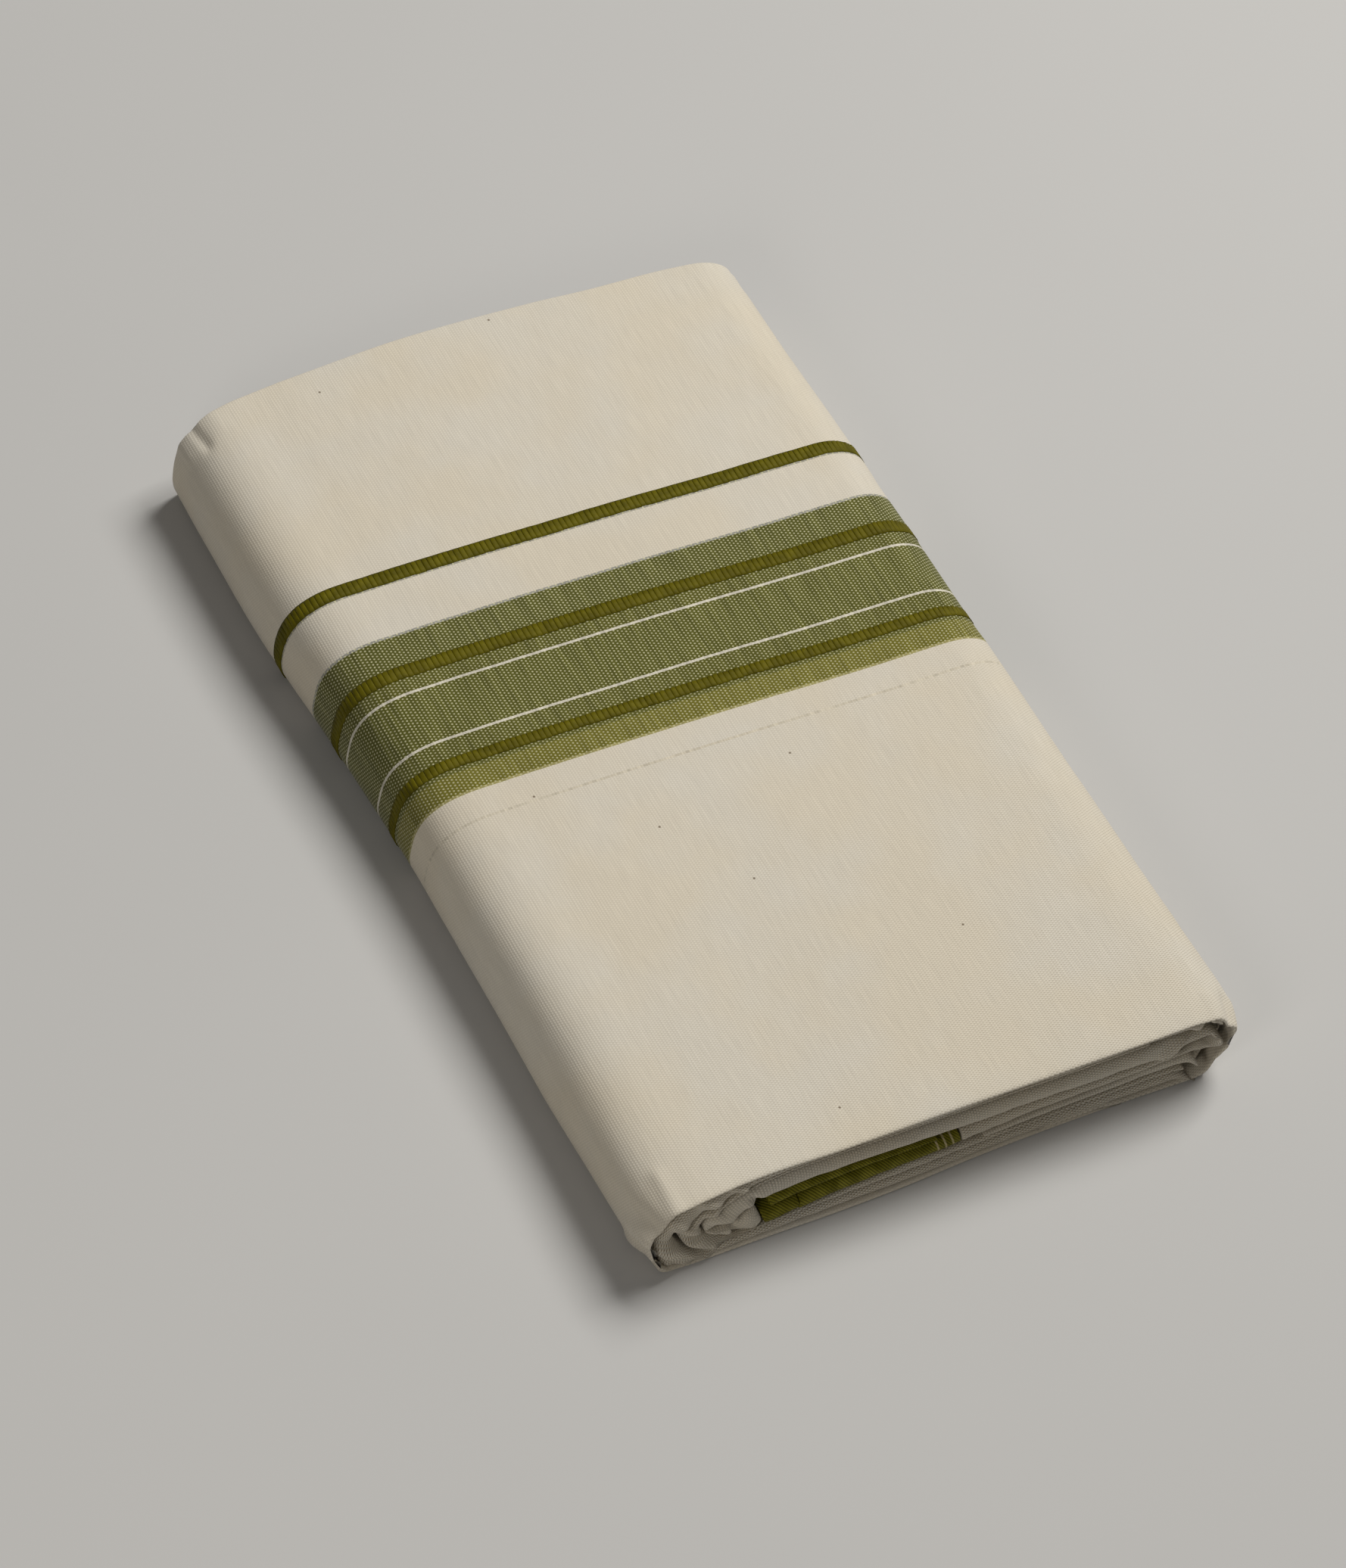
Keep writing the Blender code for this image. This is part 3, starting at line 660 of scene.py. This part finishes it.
def ribTree():
    tree = bpy.data.node_groups.new("stripe ribs", "GeometryNodeTree")
    sockets = {"Geometry": "Geometry", "Pitch": "Float", "Thick": "Float", "Long": "Float",
               "Rise": "Float", "Seed": "Int", "Material": "Material"}
    for name, kind in sockets.items():
        tree.interface.new_socket(name, in_out="INPUT", socket_type="NodeSocket" + kind)
    tree.interface.new_socket("Geometry", in_out="OUTPUT", socket_type="NodeSocketGeometry")
    given = addNode(tree, "NodeGroupInput")
    line = addNode(tree, "MeshToCurve", {0: given})
    spots = addNode(tree, "CurveToPoints", {"Curve": line, "Length": (given, "Pitch")},
                    mode="LENGTH")
    # a bar that narrows a little to its far end, laid along the packet
    farEnd, nearEnd = ribSpec["narrowing"]
    bar = addNode(tree, "MeshCone", {
        "Vertices": 10, "Side Segments": 3, "Fill Segments": 2,
        "Radius Top": farEnd, "Radius Bottom": nearEnd, "Depth": 1.0}, fill_type="TRIANGLE_FAN")
    bar = addNode(tree, "Transform", {"Geometry": bar, "Translation": (0.0, -0.5, 0.0),
                                      "Rotation": (-math.pi / 2, 0.0, 0.0)})
    scale = addNode(tree, "ShaderNodeCombineXYZ", {0: (given, "Thick"), 1: (given, "Long"),
                                                   2: (given, "Rise")})
    shaped = addNode(tree, "Transform", {"Geometry": bar, "Scale": scale})
    turned = addNode(tree, "FunctionNodeAlignRotationToVector", {"Vector": (spots, "Tangent")},
                     axis="X")
    turned = addNode(tree, "FunctionNodeAlignRotationToVector",
                     {"Rotation": turned, "Vector": (0.0, 1.0, 0.0)}, axis="Y", pivot_axis="X")
    least, most = ribSpec["uneven"]
    uneven = addNode(tree, "FunctionNodeRandomValue", {0: least, 1: most, "Seed": (given, "Seed")},
                     data_type="FLOAT_VECTOR")
    shaped = addNode(tree, "SetShadeSmooth", {0: shaped})
    placed = addNode(tree, "InstanceOnPoints", {"Points": spots, "Instance": shaped,
                                                "Rotation": turned, "Scale": uneven})
    real = addNode(tree, "RealizeInstances", {0: placed})
    coloured = addNode(tree, "SetMaterial", {"Geometry": real, "Material": (given, "Material")})
    addNode(tree, "NodeGroupOutput", {0: coloured})
    return tree


def makeRibs(name, along, length, tree):
    # a guide line on the outer turn, with a rib at each step
    spec = ribSpec
    halfway = wrapColumns[len(wrapColumns) // 2]
    lengths = lengthsOf(halfway[:, [0, 2]])
    middle = np.interp(0.0, halfway[overTop, 0], lengths[overTop])
    points = []
    # from just past the cloth's end under the packet, all round to where the lap begins to rise
    for k in range(8, wrapColumns.shape[1] - 16):
        y = along + readTable(*wrapSpec["skew"], lengths[k] - middle)
        x, z = (np.interp(y, wrapColumns[:, k, 1], wrapColumns[:, k, axis]) for axis in (0, 2))
        # underneath they stay above the floor
        points.append((x, y, max(z, 1.2 * spec["rise"])))
    mesh = bpy.data.meshes.new(name)
    mesh.from_pydata([tuple(c * mm for c in p) for p in points],
                     [(i, i + 1) for i in range(len(points) - 1)], [])
    guide = addObject(name + "_guide", mesh)
    modifier = guide.modifiers.new("ribs", "NODES")
    modifier.node_group = tree
    values = {"Pitch": spec["pitch"] * mm, "Thick": spec["thick"] * mm, "Long": length * mm,
              "Rise": 2 * spec["rise"] * mm, "Seed": spec["seed"], "Material": ribCotton}
    for item in tree.interface.items_tree:
        if item.in_out == "INPUT" and item.name in values:
            modifier[item.identifier] = values[item.name]
    graph = bpy.context.evaluated_depsgraph_get()
    plain = bpy.data.meshes.new_from_object(guide.evaluated_get(graph))
    bpy.data.objects.remove(guide)
    plain.name = name
    plain.materials.clear()
    plain.materials.append(ribCotton)
    return addObject(name, plain)


ribsTree = ribTree()
ribPieces = [makeRibs("stripe_ribs_" + key, along, length, ribsTree)
             for key, (along, length) in ribSpec["stripes"].items()]
print("stripe ribs made:", sum(len(p.data.polygons) for p in ribPieces), "faces")

# The folds that show in the near end, in mm. Rows are read in a square-on view of that end, where
# a point further in looks higher and further left: (x, z) of the fold's outer edge, (x, z) of its
# inner edge, and how far its front lies behind the outer turn's edge. Ridges are small wrinkles
# on it: from (x, z) to (x, z), half width and height.
endView = {
    "shift": 1.1,         # mm, from the view's middle to the packet's
    "rise": 1.80,         # how much higher a point looks for each mm further in
    "drift": 0.88,
    "depth": 0.5,         # how far in the line between two folds lies
    "wrinkle": 2.4,       # wrinkles are this much deeper than they are listed
    "hollow": 0.45,       # how deep it is beside a ridge, by its height
    "plane": ((-99, -70, -50, -30, -10, 20, 48, 66, 84, 99),
              (2.9, 3.1, 3.4, 3.1, 2.4, 2.0, 1.3, 1.0, 0.4, 0.0)),
}

foldSpecs = {
    "second_turn_fold": {
        "node": "second_turn", "cloth": "cream",
        "rows": (
            (87.6, 5.6, 85.4, 8.6, 4), (90.2, 9.2, 87.2, 11.5, 5), (92.6, 12.7, 90.4, 14.2, 5.5),
            (94, 16.5, 92.8, 17.2, 5.5), (93.9, 20.5, 91.6, 20.6, 5),
            (92.4, 24.5, 89.8, 23.8, 2.8), (90.2, 28.2, 87.2, 26.4, 1.7),
            (87, 30.2, 85.6, 28.6, 1.5), (84.6, 30.9, 84.2, 29.6, 1.6),
            (82.6, 30.8, 82.3, 26.2, 0.8), (80.5, 30.8, 80, 27.2, 0.9), (78, 30.8, 78, 28.7, 1.1),
            (70, 30.9, 70, 28.4, 1.2), (60, 31, 60, 28.3, 1.3), (40, 31.1, 40, 28, 1.2),
            (20, 31.3, 20, 28, 1.3), (0, 31.4, 0, 28.1, 1.2), (-20, 31.4, -20, 28.4, 1.1),
            (-40, 31.2, -40, 28.6, 1.1), (-55, 32, -55, 28.8, 1), (-65, 32.5, -65, 28.8, 0.7),
            (-69.5, 32.6, -70, 27.4, 0.4), (-74, 32.3, -73.5, 26.5, 0.5),
            (-79, 31.7, -78.5, 24, 0.5), (-84, 30.7, -83, 21.8, 0.4), (-89, 29.2, -86.3, 20, 0.3),
            (-91.9, 27.2, -87.6, 18.8, 0.3), (-93.3, 23.6, -88.2, 17.5, 0.3),
            (-94.6, 20.5, -88.1, 16, 0.2), (-95.2, 17, -87.6, 14, 0.3),
            (-95.1, 14, -86.9, 12.6, 0.2), (-94.2, 10.6, -85.6, 10.8, 0),
            (-92.9, 7.2, -84.2, 9.2, 0), (-91.7, 4.2, -82.6, 7.4, 0), (-89.6, 2, -80.8, 5.6, 0),
            (-86, 1, -78.9, 4.7, 0.1), (-80, 0.8, -77, 4.5, 0.3), (-70, 0.6, -70, 4.5, 0.4),
            (-60, 0.6, -60, 4.6, 0.4), (-25, 1.2, -25, 5.2, 0.4), (7, 2.5, 7, 6.7, 0.4),
            (28, 3.5, 28, 7.8, 0.4), (48, 4.1, 48, 8.5, 0.4), (68, 4.8, 68, 8.7, 0.3),
            (78, 4.5, 76, 9, 0.2), (82.5, 3.2, 80.3, 7.4, -0.2), (85.6, 2.4, 82.8, 4.6, -0.7)),
        "ridges": (
            (-73, 31, -68.5, 27.8, 1.3, 0.5), (-82.5, 29.6, -76.5, 25, 1.9, 0.6),
            (-91.8, 24.6, -86, 19.4, 2.2, 0.75), (-93.5, 14.8, -86, 13, 1.8, -0.7),
            (-91.5, 10, -82.5, 4.6, 1.9, 0.75), (-86.6, 3.6, -83.4, 1, 1.4, 0.5),
            (-80.2, 3.6, -78, 1, 1.4, 0.5), (91, 25.5, 93.2, 18.5, 1, 0.4)),
    },
    "third_turn_fold": {
        "node": "third_turn", "cloth": "cream",
        "rows": (
            (66, 27.7, 66, 26.6, 1.9), (40, 27.5, 40, 26.2, 2), (20, 27.5, 20, 26.3, 2),
            (-20, 27.8, -20, 26.7, 1.9), (-45, 28, -45, 27.1, 1.8), (-60, 28.2, -60, 26.9, 1.5),
            (-68, 27.3, -67.5, 25.7, 1.1), (-72, 26.2, -71, 24.2, 0.9),
            (-75.5, 24.6, -74, 22.8, 0.8), (-80, 22.8, -77.5, 20.8, 0.8),
            (-84, 20.9, -80, 18.9, 0.8), (-86.9, 19.2, -80.5, 17.3, 0.8),
            (-88, 17.5, -79.7, 15.2, 0.7), (-87.3, 15, -78.6, 13.2, 0.8),
            (-85.5, 11.5, -76.8, 11.2, 0.9), (-82.5, 7.6, -74.4, 9, 0.9),
            (-79.6, 5.1, -71.3, 6.8, 0.7), (-75.5, 4.8, -67.8, 5.6, 0.8), (-60, 4.8, -60, 5.5, 1),
            (-50, 5, -50, 5.8, 1), (-38, 5.1, -38, 6.9, 1), (-25, 5.4, -25, 8.2, 0.9),
            (-10, 6.3, -10, 9.9, 0.8), (7, 7, 7, 9.8, 0.9), (28, 8.1, 28, 9.4, 1),
            (48, 8.8, 48, 10.3, 1), (68, 9, 68, 11, 0.9), (76, 9.3, 75.5, 11.2, 0.7),
            (80.6, 8.6, 79.2, 10.9, 0.5)),
        "ridges": (
            (-87.5, 18.4, -80, 14.6, 1.9, 0.65), (-79, 22.4, -76, 20.4, 1.5, 0.5),
            (-84.5, 9.6, -76.5, 6, 1.8, 0.6), (-86, 12.8, -78.5, 11.8, 1.4, -0.5)),
    },
    "inner_fold_cloth": {
        "node": "inner_fold", "cloth": "cream",
        "rows": (
            (-79.4, 16.4, -77, 14.6, 0.5), (-79.8, 18.1, -74.5, 13.9, 0.4),
            (-76, 21.1, -70, 13.9, 0.4), (-72, 23.2, -66, 15, 0.4), (-68, 24.6, -63.2, 17.2, 0.5),
            (-62, 25.6, -60, 18.1, 0.5), (-54, 25.9, -54, 19.1, 0.5), (-39, 25.7, -39, 19.5, 0.6),
            (-20, 25.4, -20, 19.4, 0.7), (-3.5, 25.2, -3.5, 19.2, 0.7), (12, 24.9, 12, 18.1, 0.7),
            (28, 24.8, 28, 18.7, 0.6), (48, 24.7, 48, 18, 0.6), (60, 24.8, 60, 18.1, 0.6),
            (71, 25.3, 71, 18, 0.4), (78, 26, 77, 19.8, 0.5), (82, 25.7, 81.5, 21.4, 0.6),
            (86, 25.6, 85, 22, 0.6), (88.6, 23.6, 87.3, 22, 0.4), (90.9, 20.4, 87, 21.4, -0.3),
            (92.8, 17, 86, 20.6, -0.9), (89.8, 15.7, 84, 20.4, 0.3), (84, 16.2, 80, 19.6, 1),
            (78, 15.9, 76, 18.4, 1.1), (68, 14.9, 68, 17.4, 1.2), (58, 13.7, 58, 17.3, 1.3),
            (45, 13.3, 45, 17.3, 1.3), (27.5, 12.4, 27.5, 17.7, 1.2),
            (17.5, 11.4, 17.5, 17.3, 1.1), (6.6, 10.7, 5.6, 16.8, 0.9)),
        "ridges": (
            (-64.5, 20.4, -61.6, 17.4, 1.2, -0.6), (-76.5, 18, -71, 14.6, 1.6, 0.5),
            (80, 24, 71, 18, 1.8, 0.5), (86, 25.2, 77, 20.6, 1.4, -0.45),
            (91.5, 19.4, 84, 17, 1.3, 0.5)),
    },
    "inner_tongue_cloth": {
        "node": "inner_tongue", "cloth": "cream",
        "rows": (
            (-78.2, 12.4, -76.4, 13.6, 0.8), (-75.5, 9.9, -72.4, 13.2, 0.7),
            (-71.8, 7.4, -69, 13.3, 0.7), (-69, 5.9, -66.4, 14.2, 0.6),
            (-66.6, 5.2, -64, 15.4, 0.6), (-63.5, 5.7, -61.9, 15.6, 0.7),
            (-59.9, 5.9, -60.9, 13, 0.9)),
        "ridges": (
            (-76.5, 12.6, -71.5, 10.4, 1.3, 0.55), (-70.6, 12, -69, 7.4, 1.2, -0.55),
            (-65.6, 12.5, -63, 6.5, 2.2, 0.5)),
    },
    "middle_fold_cloth": {
        "node": "middle_fold", "cloth": "cream",
        "rows": (
            (14, 9, 14, 10.6, 1.3), (28, 9.7, 28, 12, 1.2), (48, 10.6, 48, 13, 1.2),
            (58, 11, 58, 13.4, 1.2), (68, 11.3, 68, 14.5, 1.1), (76, 11.5, 77, 15.4, 0.9),
            (81, 11.4, 81.8, 15.6, 0.2), (84.4, 9.6, 83.8, 12.8, -0.5)),
        "ridges": ((30, 10.6, 74, 12.6, 0.3, -0.25),),
    },
    "border_end_upper_tier": {
        "node": "border_end_upper", "cloth": "green",
        "rows": (
            (-57.9, 17.6, -56.4, 12.2, 0.9), (-54, 18.4, -54, 13, 0.9),
            (-47.5, 18.7, -47.5, 14.2, 0.9), (-34, 19, -34, 15.8, 0.9), (-20, 18.9, -20, 16.6, 1),
            (-3.5, 18.7, -3.5, 17, 1.1)),
        "ridges": (),
    },
    "border_end_lower_tier": {
        "node": "border_end_lower", "cloth": "green",
        "rows": (
            (-59.8, 11.8, -57.5, 5.6, 0.2), (-54.5, 12, -54, 5.6, 0.2),
            (-48, 12.9, -47.4, 6.8, 0.3)),
        "ridges": (),
    },
    "border_end_main_tier": {
        "node": "border_end_main", "cloth": "barred",
        "rows": (
            (-47.3, 13, -46.8, 6.2, 0.1), (-39, 14.1, -39, 7.3, 0.3), (-29, 15, -29, 8.3, 0.4),
            (-20, 15.7, -20, 9.3, 0.4), (-8, 16.2, -8, 10.3, 0.5), (0, 16.7, 0.6, 10.6, 0.6),
            (4, 17, 5.3, 10.8, 0.7)),
        "ridges": (),
    },
}
foldShape = {
    "depth": 24.0,
    "rowSpacing": 0.6,
    "noseSteps": 16,
    "noseDepth": (1.35, 2.8),       # by its half thickness, and the most
    "behind": (12.0, 5.0),          # where its sides have points
    "gap": 0.36,                    # what each fold leaves free on each side
    "thinnest": 0.25,
    "endAngles": (0.15, 0.5, 0.9, 1.3),
    "endBulge": {"cream": 0.7, "green": 0.25, "barred": 0.25},
    "endRound": 1.2,                # the most that an end goes on past its last row
    "endBack": 0.3,
    "ripple": 0.22,
    "rippleLengths": (5.0, 2.0),    # along the fold, and round its nose
}


def fromEndView(x, z, behind):
    # the place in the packet of a point seen in the view of the near end
    plane = readTable(*endView["plane"], x) - packet["halfLength"]
    px, pz = x - endView["shift"], z
    for _ in range(4):
        inward = nearEdge(px, pz) + behind - plane
        px = x - endView["shift"] + endView["drift"] * inward
        pz = z - endView["rise"] * inward
    return px, pz


def makeFold(name, spec):
    given, shape = endView, foldShape
    rows = []
    for outerX, outerZ, innerX, innerZ, front in spec["rows"]:
        a, b = fromEndView(outerX, outerZ, given["depth"])
        c, d = fromEndView(innerX, innerZ, given["depth"])
        rows.append(((a + c) / 2, (b + d) / 2, a, b, c, d, front))
    path = np.array(smoothRows(rows, shape["rowSpacing"]))
    outer, inner, fronts = path[:, 2:4], path[:, 4:6], path[:, 6]
    middles = (outer + inner) / 2
    reach = (outer - inner) / 2
    halves = np.linalg.norm(reach, axis=1)
    reach *= (np.maximum(halves - shape["gap"], shape["thinnest"]) / halves)[:, None]
    rings = list(zip(middles, reach, fronts))
    # round off both ends
    for k, before, angles in ((0, 1, shape["endAngles"]), (-1, -2, shape["endAngles"][::-1])):
        away = middles[k] - middles[before]
        away *= min(np.linalg.norm(reach[k]), shape["endRound"]) / np.linalg.norm(away)
        bulge = shape["endBulge"][spec["cloth"]]
        cap = [(middles[k] + away * bulge * math.cos(a), reach[k] * math.sin(a),
                fronts[k] + shape["endBack"] * math.cos(a)) for a in angles]
        rings = rings + cap if k else cap + rings
    lengths = lengthsOf(np.array([centre for centre, _, _ in rings]))
    points, uvs = [], []
    back = shape["depth"] - packet["halfLength"]
    deepest, middle = shape["behind"]
    rippleLong, rippleRound = shape["rippleLengths"]
    for (centre, arm, front), length in zip(rings, lengths):
        half = np.linalg.norm(arm)
        nose = min(shape["noseDepth"][0] * half, shape["noseDepth"][1])
        # from the back over the nose and to the back again: (place across, how far behind)
        loop = [(1.0, None), (1.0, deepest), (1.0, middle)]
        loop += [(math.cos(a), nose * (1 - math.sin(a)))
                 for a in np.linspace(0.0, math.pi, shape["noseSteps"])]
        loop += [(-1.0, middle), (-1.0, deepest), (-1.0, None)]
        offsets = np.array([offset for offset, _ in loop])
        xs, zs = centre[0] + arm[0] * offsets, centre[1] + arm[1] * offsets
        wrinkles = given["wrinkle"] * foldHeights(xs, zs, spec["ridges"], given["hollow"])
        around, previous = 0.0, None
        for (offset, behind), x, z, wrinkle in zip(loop, xs, zs, wrinkles):
            y = back if behind is None else nearEdge(x, z) + front + behind
            if behind is not None and behind < middle:
                at = Vector((length / rippleLong, offset * half / rippleRound, len(name)))
                y += (shape["ripple"] * noise.noise(at) - wrinkle) * min(1.0, half)
            spot = (x, y, max(z, 0.05))
            around += 0.0 if previous is None else math.dist(spot, previous)
            previous = spot
            points.append(spot)
            uvs.append((length, around))
    return makePiece(name, points, tubeFaces(len(rings), len(loop)), foldCloths[spec["cloth"]],
                     uvs), lengths[-1]


foldCloths = {"cream": foldCotton, "green": greenCotton, "barred": barredCotton}
foldPieces = {name: makeFold(name, spec) for name, spec in foldSpecs.items()}
print("near end folds made:", len(foldPieces))

# the hidden layers: one long strip wound inside the outer turn, whose edges show at the far end
windingSpec = {
    "turns": 6,
    "pitch": 2.3,
    "thick": 1.7,
    "perTurn": 110,
    "near": -138.5,
    "farSetback": 1.8,
    "farRound": 0.9,
    "corner": 13.0,
    "box": (95.5, 3.1, 30.4),       # how far it goes to each side, its underside and its top
    "wobble": (0.5, 0.45),
    "widest": 97.5,
    "reach": (0.075, 0.92),         # where along the packet it starts, and how far it goes
    "boxIsFor": (95.8, 32.6),       # the room's half width and the packet's height there
    "topClear": 0.1,
}


def rectPoint(inset, share):
    # a place on a round-cornered box's outline, by share of the way from the bottom middle,
    # clockwise
    side, bottom, top = windingSpec["box"]
    x0, x1, z0, z1 = -side + inset, side - inset, bottom + inset, top - inset
    r = max(min(windingSpec["corner"] - inset * 0.7, (z1 - z0) / 2), 0.4)
    wide, tall, arc = x1 - x0 - 2 * r, z1 - z0 - 2 * r, math.pi * r / 2
    # straight stretches have a start and a direction, arcs a centre and a first angle
    runs = [(wide / 2, (0.5 * (x0 + x1), z0), (-1, 0)), (arc, (x0 + r, z0 + r), 270),
            (tall, (x0, z0 + r), (0, 1)), (arc, (x0 + r, z1 - r), 180),
            (wide, (x0 + r, z1), (1, 0)), (arc, (x1 - r, z1 - r), 90),
            (tall, (x1, z1 - r), (0, -1)), (arc, (x1 - r, z0 + r), 0),
            (wide / 2, (x1 - r, z0), (-1, 0))]
    s = (share % 1.0) * (2 * (wide + tall) + 4 * arc)
    while s > runs[0][0] and len(runs) > 1:
        s -= runs.pop(0)[0]
    length, (x, z), detail = runs[0]
    if isinstance(detail, tuple):
        return x + detail[0] * s, z + detail[1] * s
    angle = math.radians(detail - 90 * s / length)
    return x + r * math.cos(angle), z + r * math.sin(angle)


def makeWinding():
    spec = windingSpec
    half = spec["thick"] / 2
    turns = [i / spec["perTurn"] for i in range(spec["turns"] * spec["perTurn"] + 1)]
    path = np.array([rectPoint(half + spec["pitch"] * turn, turn) for turn in turns])
    lengths = lengthsOf(path)
    along = np.linspace(0, 1, 12)
    # from the near end along the outside, round the far edge and back: (side, share, behind)
    row = [(1.0, share, 0.0) for share in along]
    row += [(math.cos(a), 1.0, spec["farRound"] * (1 - math.sin(a)))
            for a in np.linspace(0, math.pi, 8)]
    row += [(-1.0, share, 0.0) for share in along[::-1]]
    _, bottom, top = spec["box"]
    room, height = spec["boxIsFor"]
    inset = packet["wall"] + packet["gap"]
    points, uvs = [], []
    for centre, normal, length, turn in zip(path, normalsOf(path), lengths, turns):
        wobble = spec["wobble"][0] * noise.noise(Vector((length / 14.0, 0.0, 3.0)))
        wobble += spec["wobble"][1] * math.sin(turn * 5.1)
        for offset, share, behind in row:
            x, z = centre + normal * half * offset
            # it follows the outer turn's width and height
            t = spec["reach"][0] + spec["reach"][1] * share
            x *= (sideWidth("left" if x < 0 else "right", t) - inset) / room
            x = max(min(x, spec["widest"]), -spec["widest"])
            rise = topHeight(t) - height + crown(x, t) - spec["topClear"]
            z += (z - bottom) / (top - bottom) * rise
            far = farEdge(x) - spec["farSetback"] + wobble
            y = (spec["near"] if share == 0 else lerp(spec["near"], far, share)) - behind
            points.append((x, y, z))
            uvs.append((length, y))
    faces = tubeFaces(len(path), len(row))
    return makePiece("hidden_winding", points, faces, foldCotton, uvs), lengths[-1]


winding, windingLength = makeWinding()
print("hidden winding made, mm long:", round(windingLength))

cameraSpec = {
    "azimuth": 36.033, "elevation": 51.039, "roll": 10.506,
    "distance": 1.8055, "lens": 138.28, "sensor": 36.0,
    "target": (-0.01168, -0.01141, 0.012),
}


def makeCamera():
    spec = cameraSpec
    az, el, roll = (math.radians(spec[k]) for k in ("azimuth", "elevation", "roll"))
    look = Vector((math.sin(az) * math.cos(el), math.cos(az) * math.cos(el), -math.sin(el)))
    across = look.cross(Vector((0, 0, 1))).normalized()
    up = across.cross(look)
    right = across * math.cos(roll) + up * math.sin(roll)
    top = up * math.cos(roll) - across * math.sin(roll)
    data = bpy.data.cameras.new("camera")
    data.sensor_width = spec["sensor"]
    data.lens = spec["lens"]
    camera = addObject("camera", data)
    turn = Matrix((right, top, -look)).transposed().to_4x4()
    place = Vector(spec["target"]) - look * spec["distance"]
    camera.matrix_world = Matrix.Translation(place) @ turn
    bpy.context.scene.camera = camera


floorLook = {"light": "#C3C2BF", "dark": "#BFBEBB", "grainScale": 60.0, "roughness": 0.95,
             "half": 6.0}
worldLook = {"tint": (1.0, 0.97, 0.94, 1.0), "strength": 0.09}


def makeFloor():
    look = floorLook
    material, tree, shader = startMaterial("pale_studio_paper")
    grain = addNode(tree, "TexNoise", {"Scale": look["grainScale"], "Detail": 2.0})
    tone = addNode(tree, "Mix", {0: grain, 6: hexColour(look["dark"]),
                                 7: hexColour(look["light"])})
    tree.links.new(tone.outputs[2], shader.inputs["Base Color"])
    shader.inputs["Roughness"].default_value = look["roughness"]
    mesh = bpy.data.meshes.new("floor")
    half = look["half"]
    corners = [(-half, -half, 0), (half, -half, 0), (half, half, 0), (-half, half, 0)]
    mesh.from_pydata(corners, [], [(0, 1, 2, 3)])
    mesh.materials.append(material)
    addObject("floor", mesh)


lightSpec = {
    # where each lamp hangs, how big it is, how strong, and its colour
    "window": ((1.3, 0.42, 2.15), 1.2, 62.5, (1.0, 0.985, 0.965)),
    "left fill": ((-0.62, -0.45, 0.55), 0.25, 1.05, (1.0, 0.965, 0.93)),
}


def makeLights():
    for name, (place, size, power, tint) in lightSpec.items():
        data = bpy.data.lights.new(name, "AREA")
        data.size = size
        data.energy = power
        data.color = tint
        lamp = addObject(name, data)
        lamp.location = place
        lamp.rotation_euler = (-Vector(place)).to_track_quat("-Z", "Y").to_euler()
    world = bpy.data.worlds.new("studio")
    world.use_nodes = True
    background = world.node_tree.nodes["Background"]
    background.inputs["Color"].default_value = worldLook["tint"]
    background.inputs["Strength"].default_value = worldLook["strength"]
    bpy.context.scene.world = world
    bpy.context.scene.view_settings.view_transform = "Standard"


makeCamera()
makeFloor()
makeLights()
print("camera, floor and lights made")

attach(wrapCloth, "root")
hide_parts("wrap")
for piece in ribPieces:
    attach(piece, "root")
for name, (piece, length) in foldPieces.items():
    spec = foldSpecs[name]
    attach(piece, "root")
    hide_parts(spec["node"])
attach(winding, "root")
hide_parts("core")
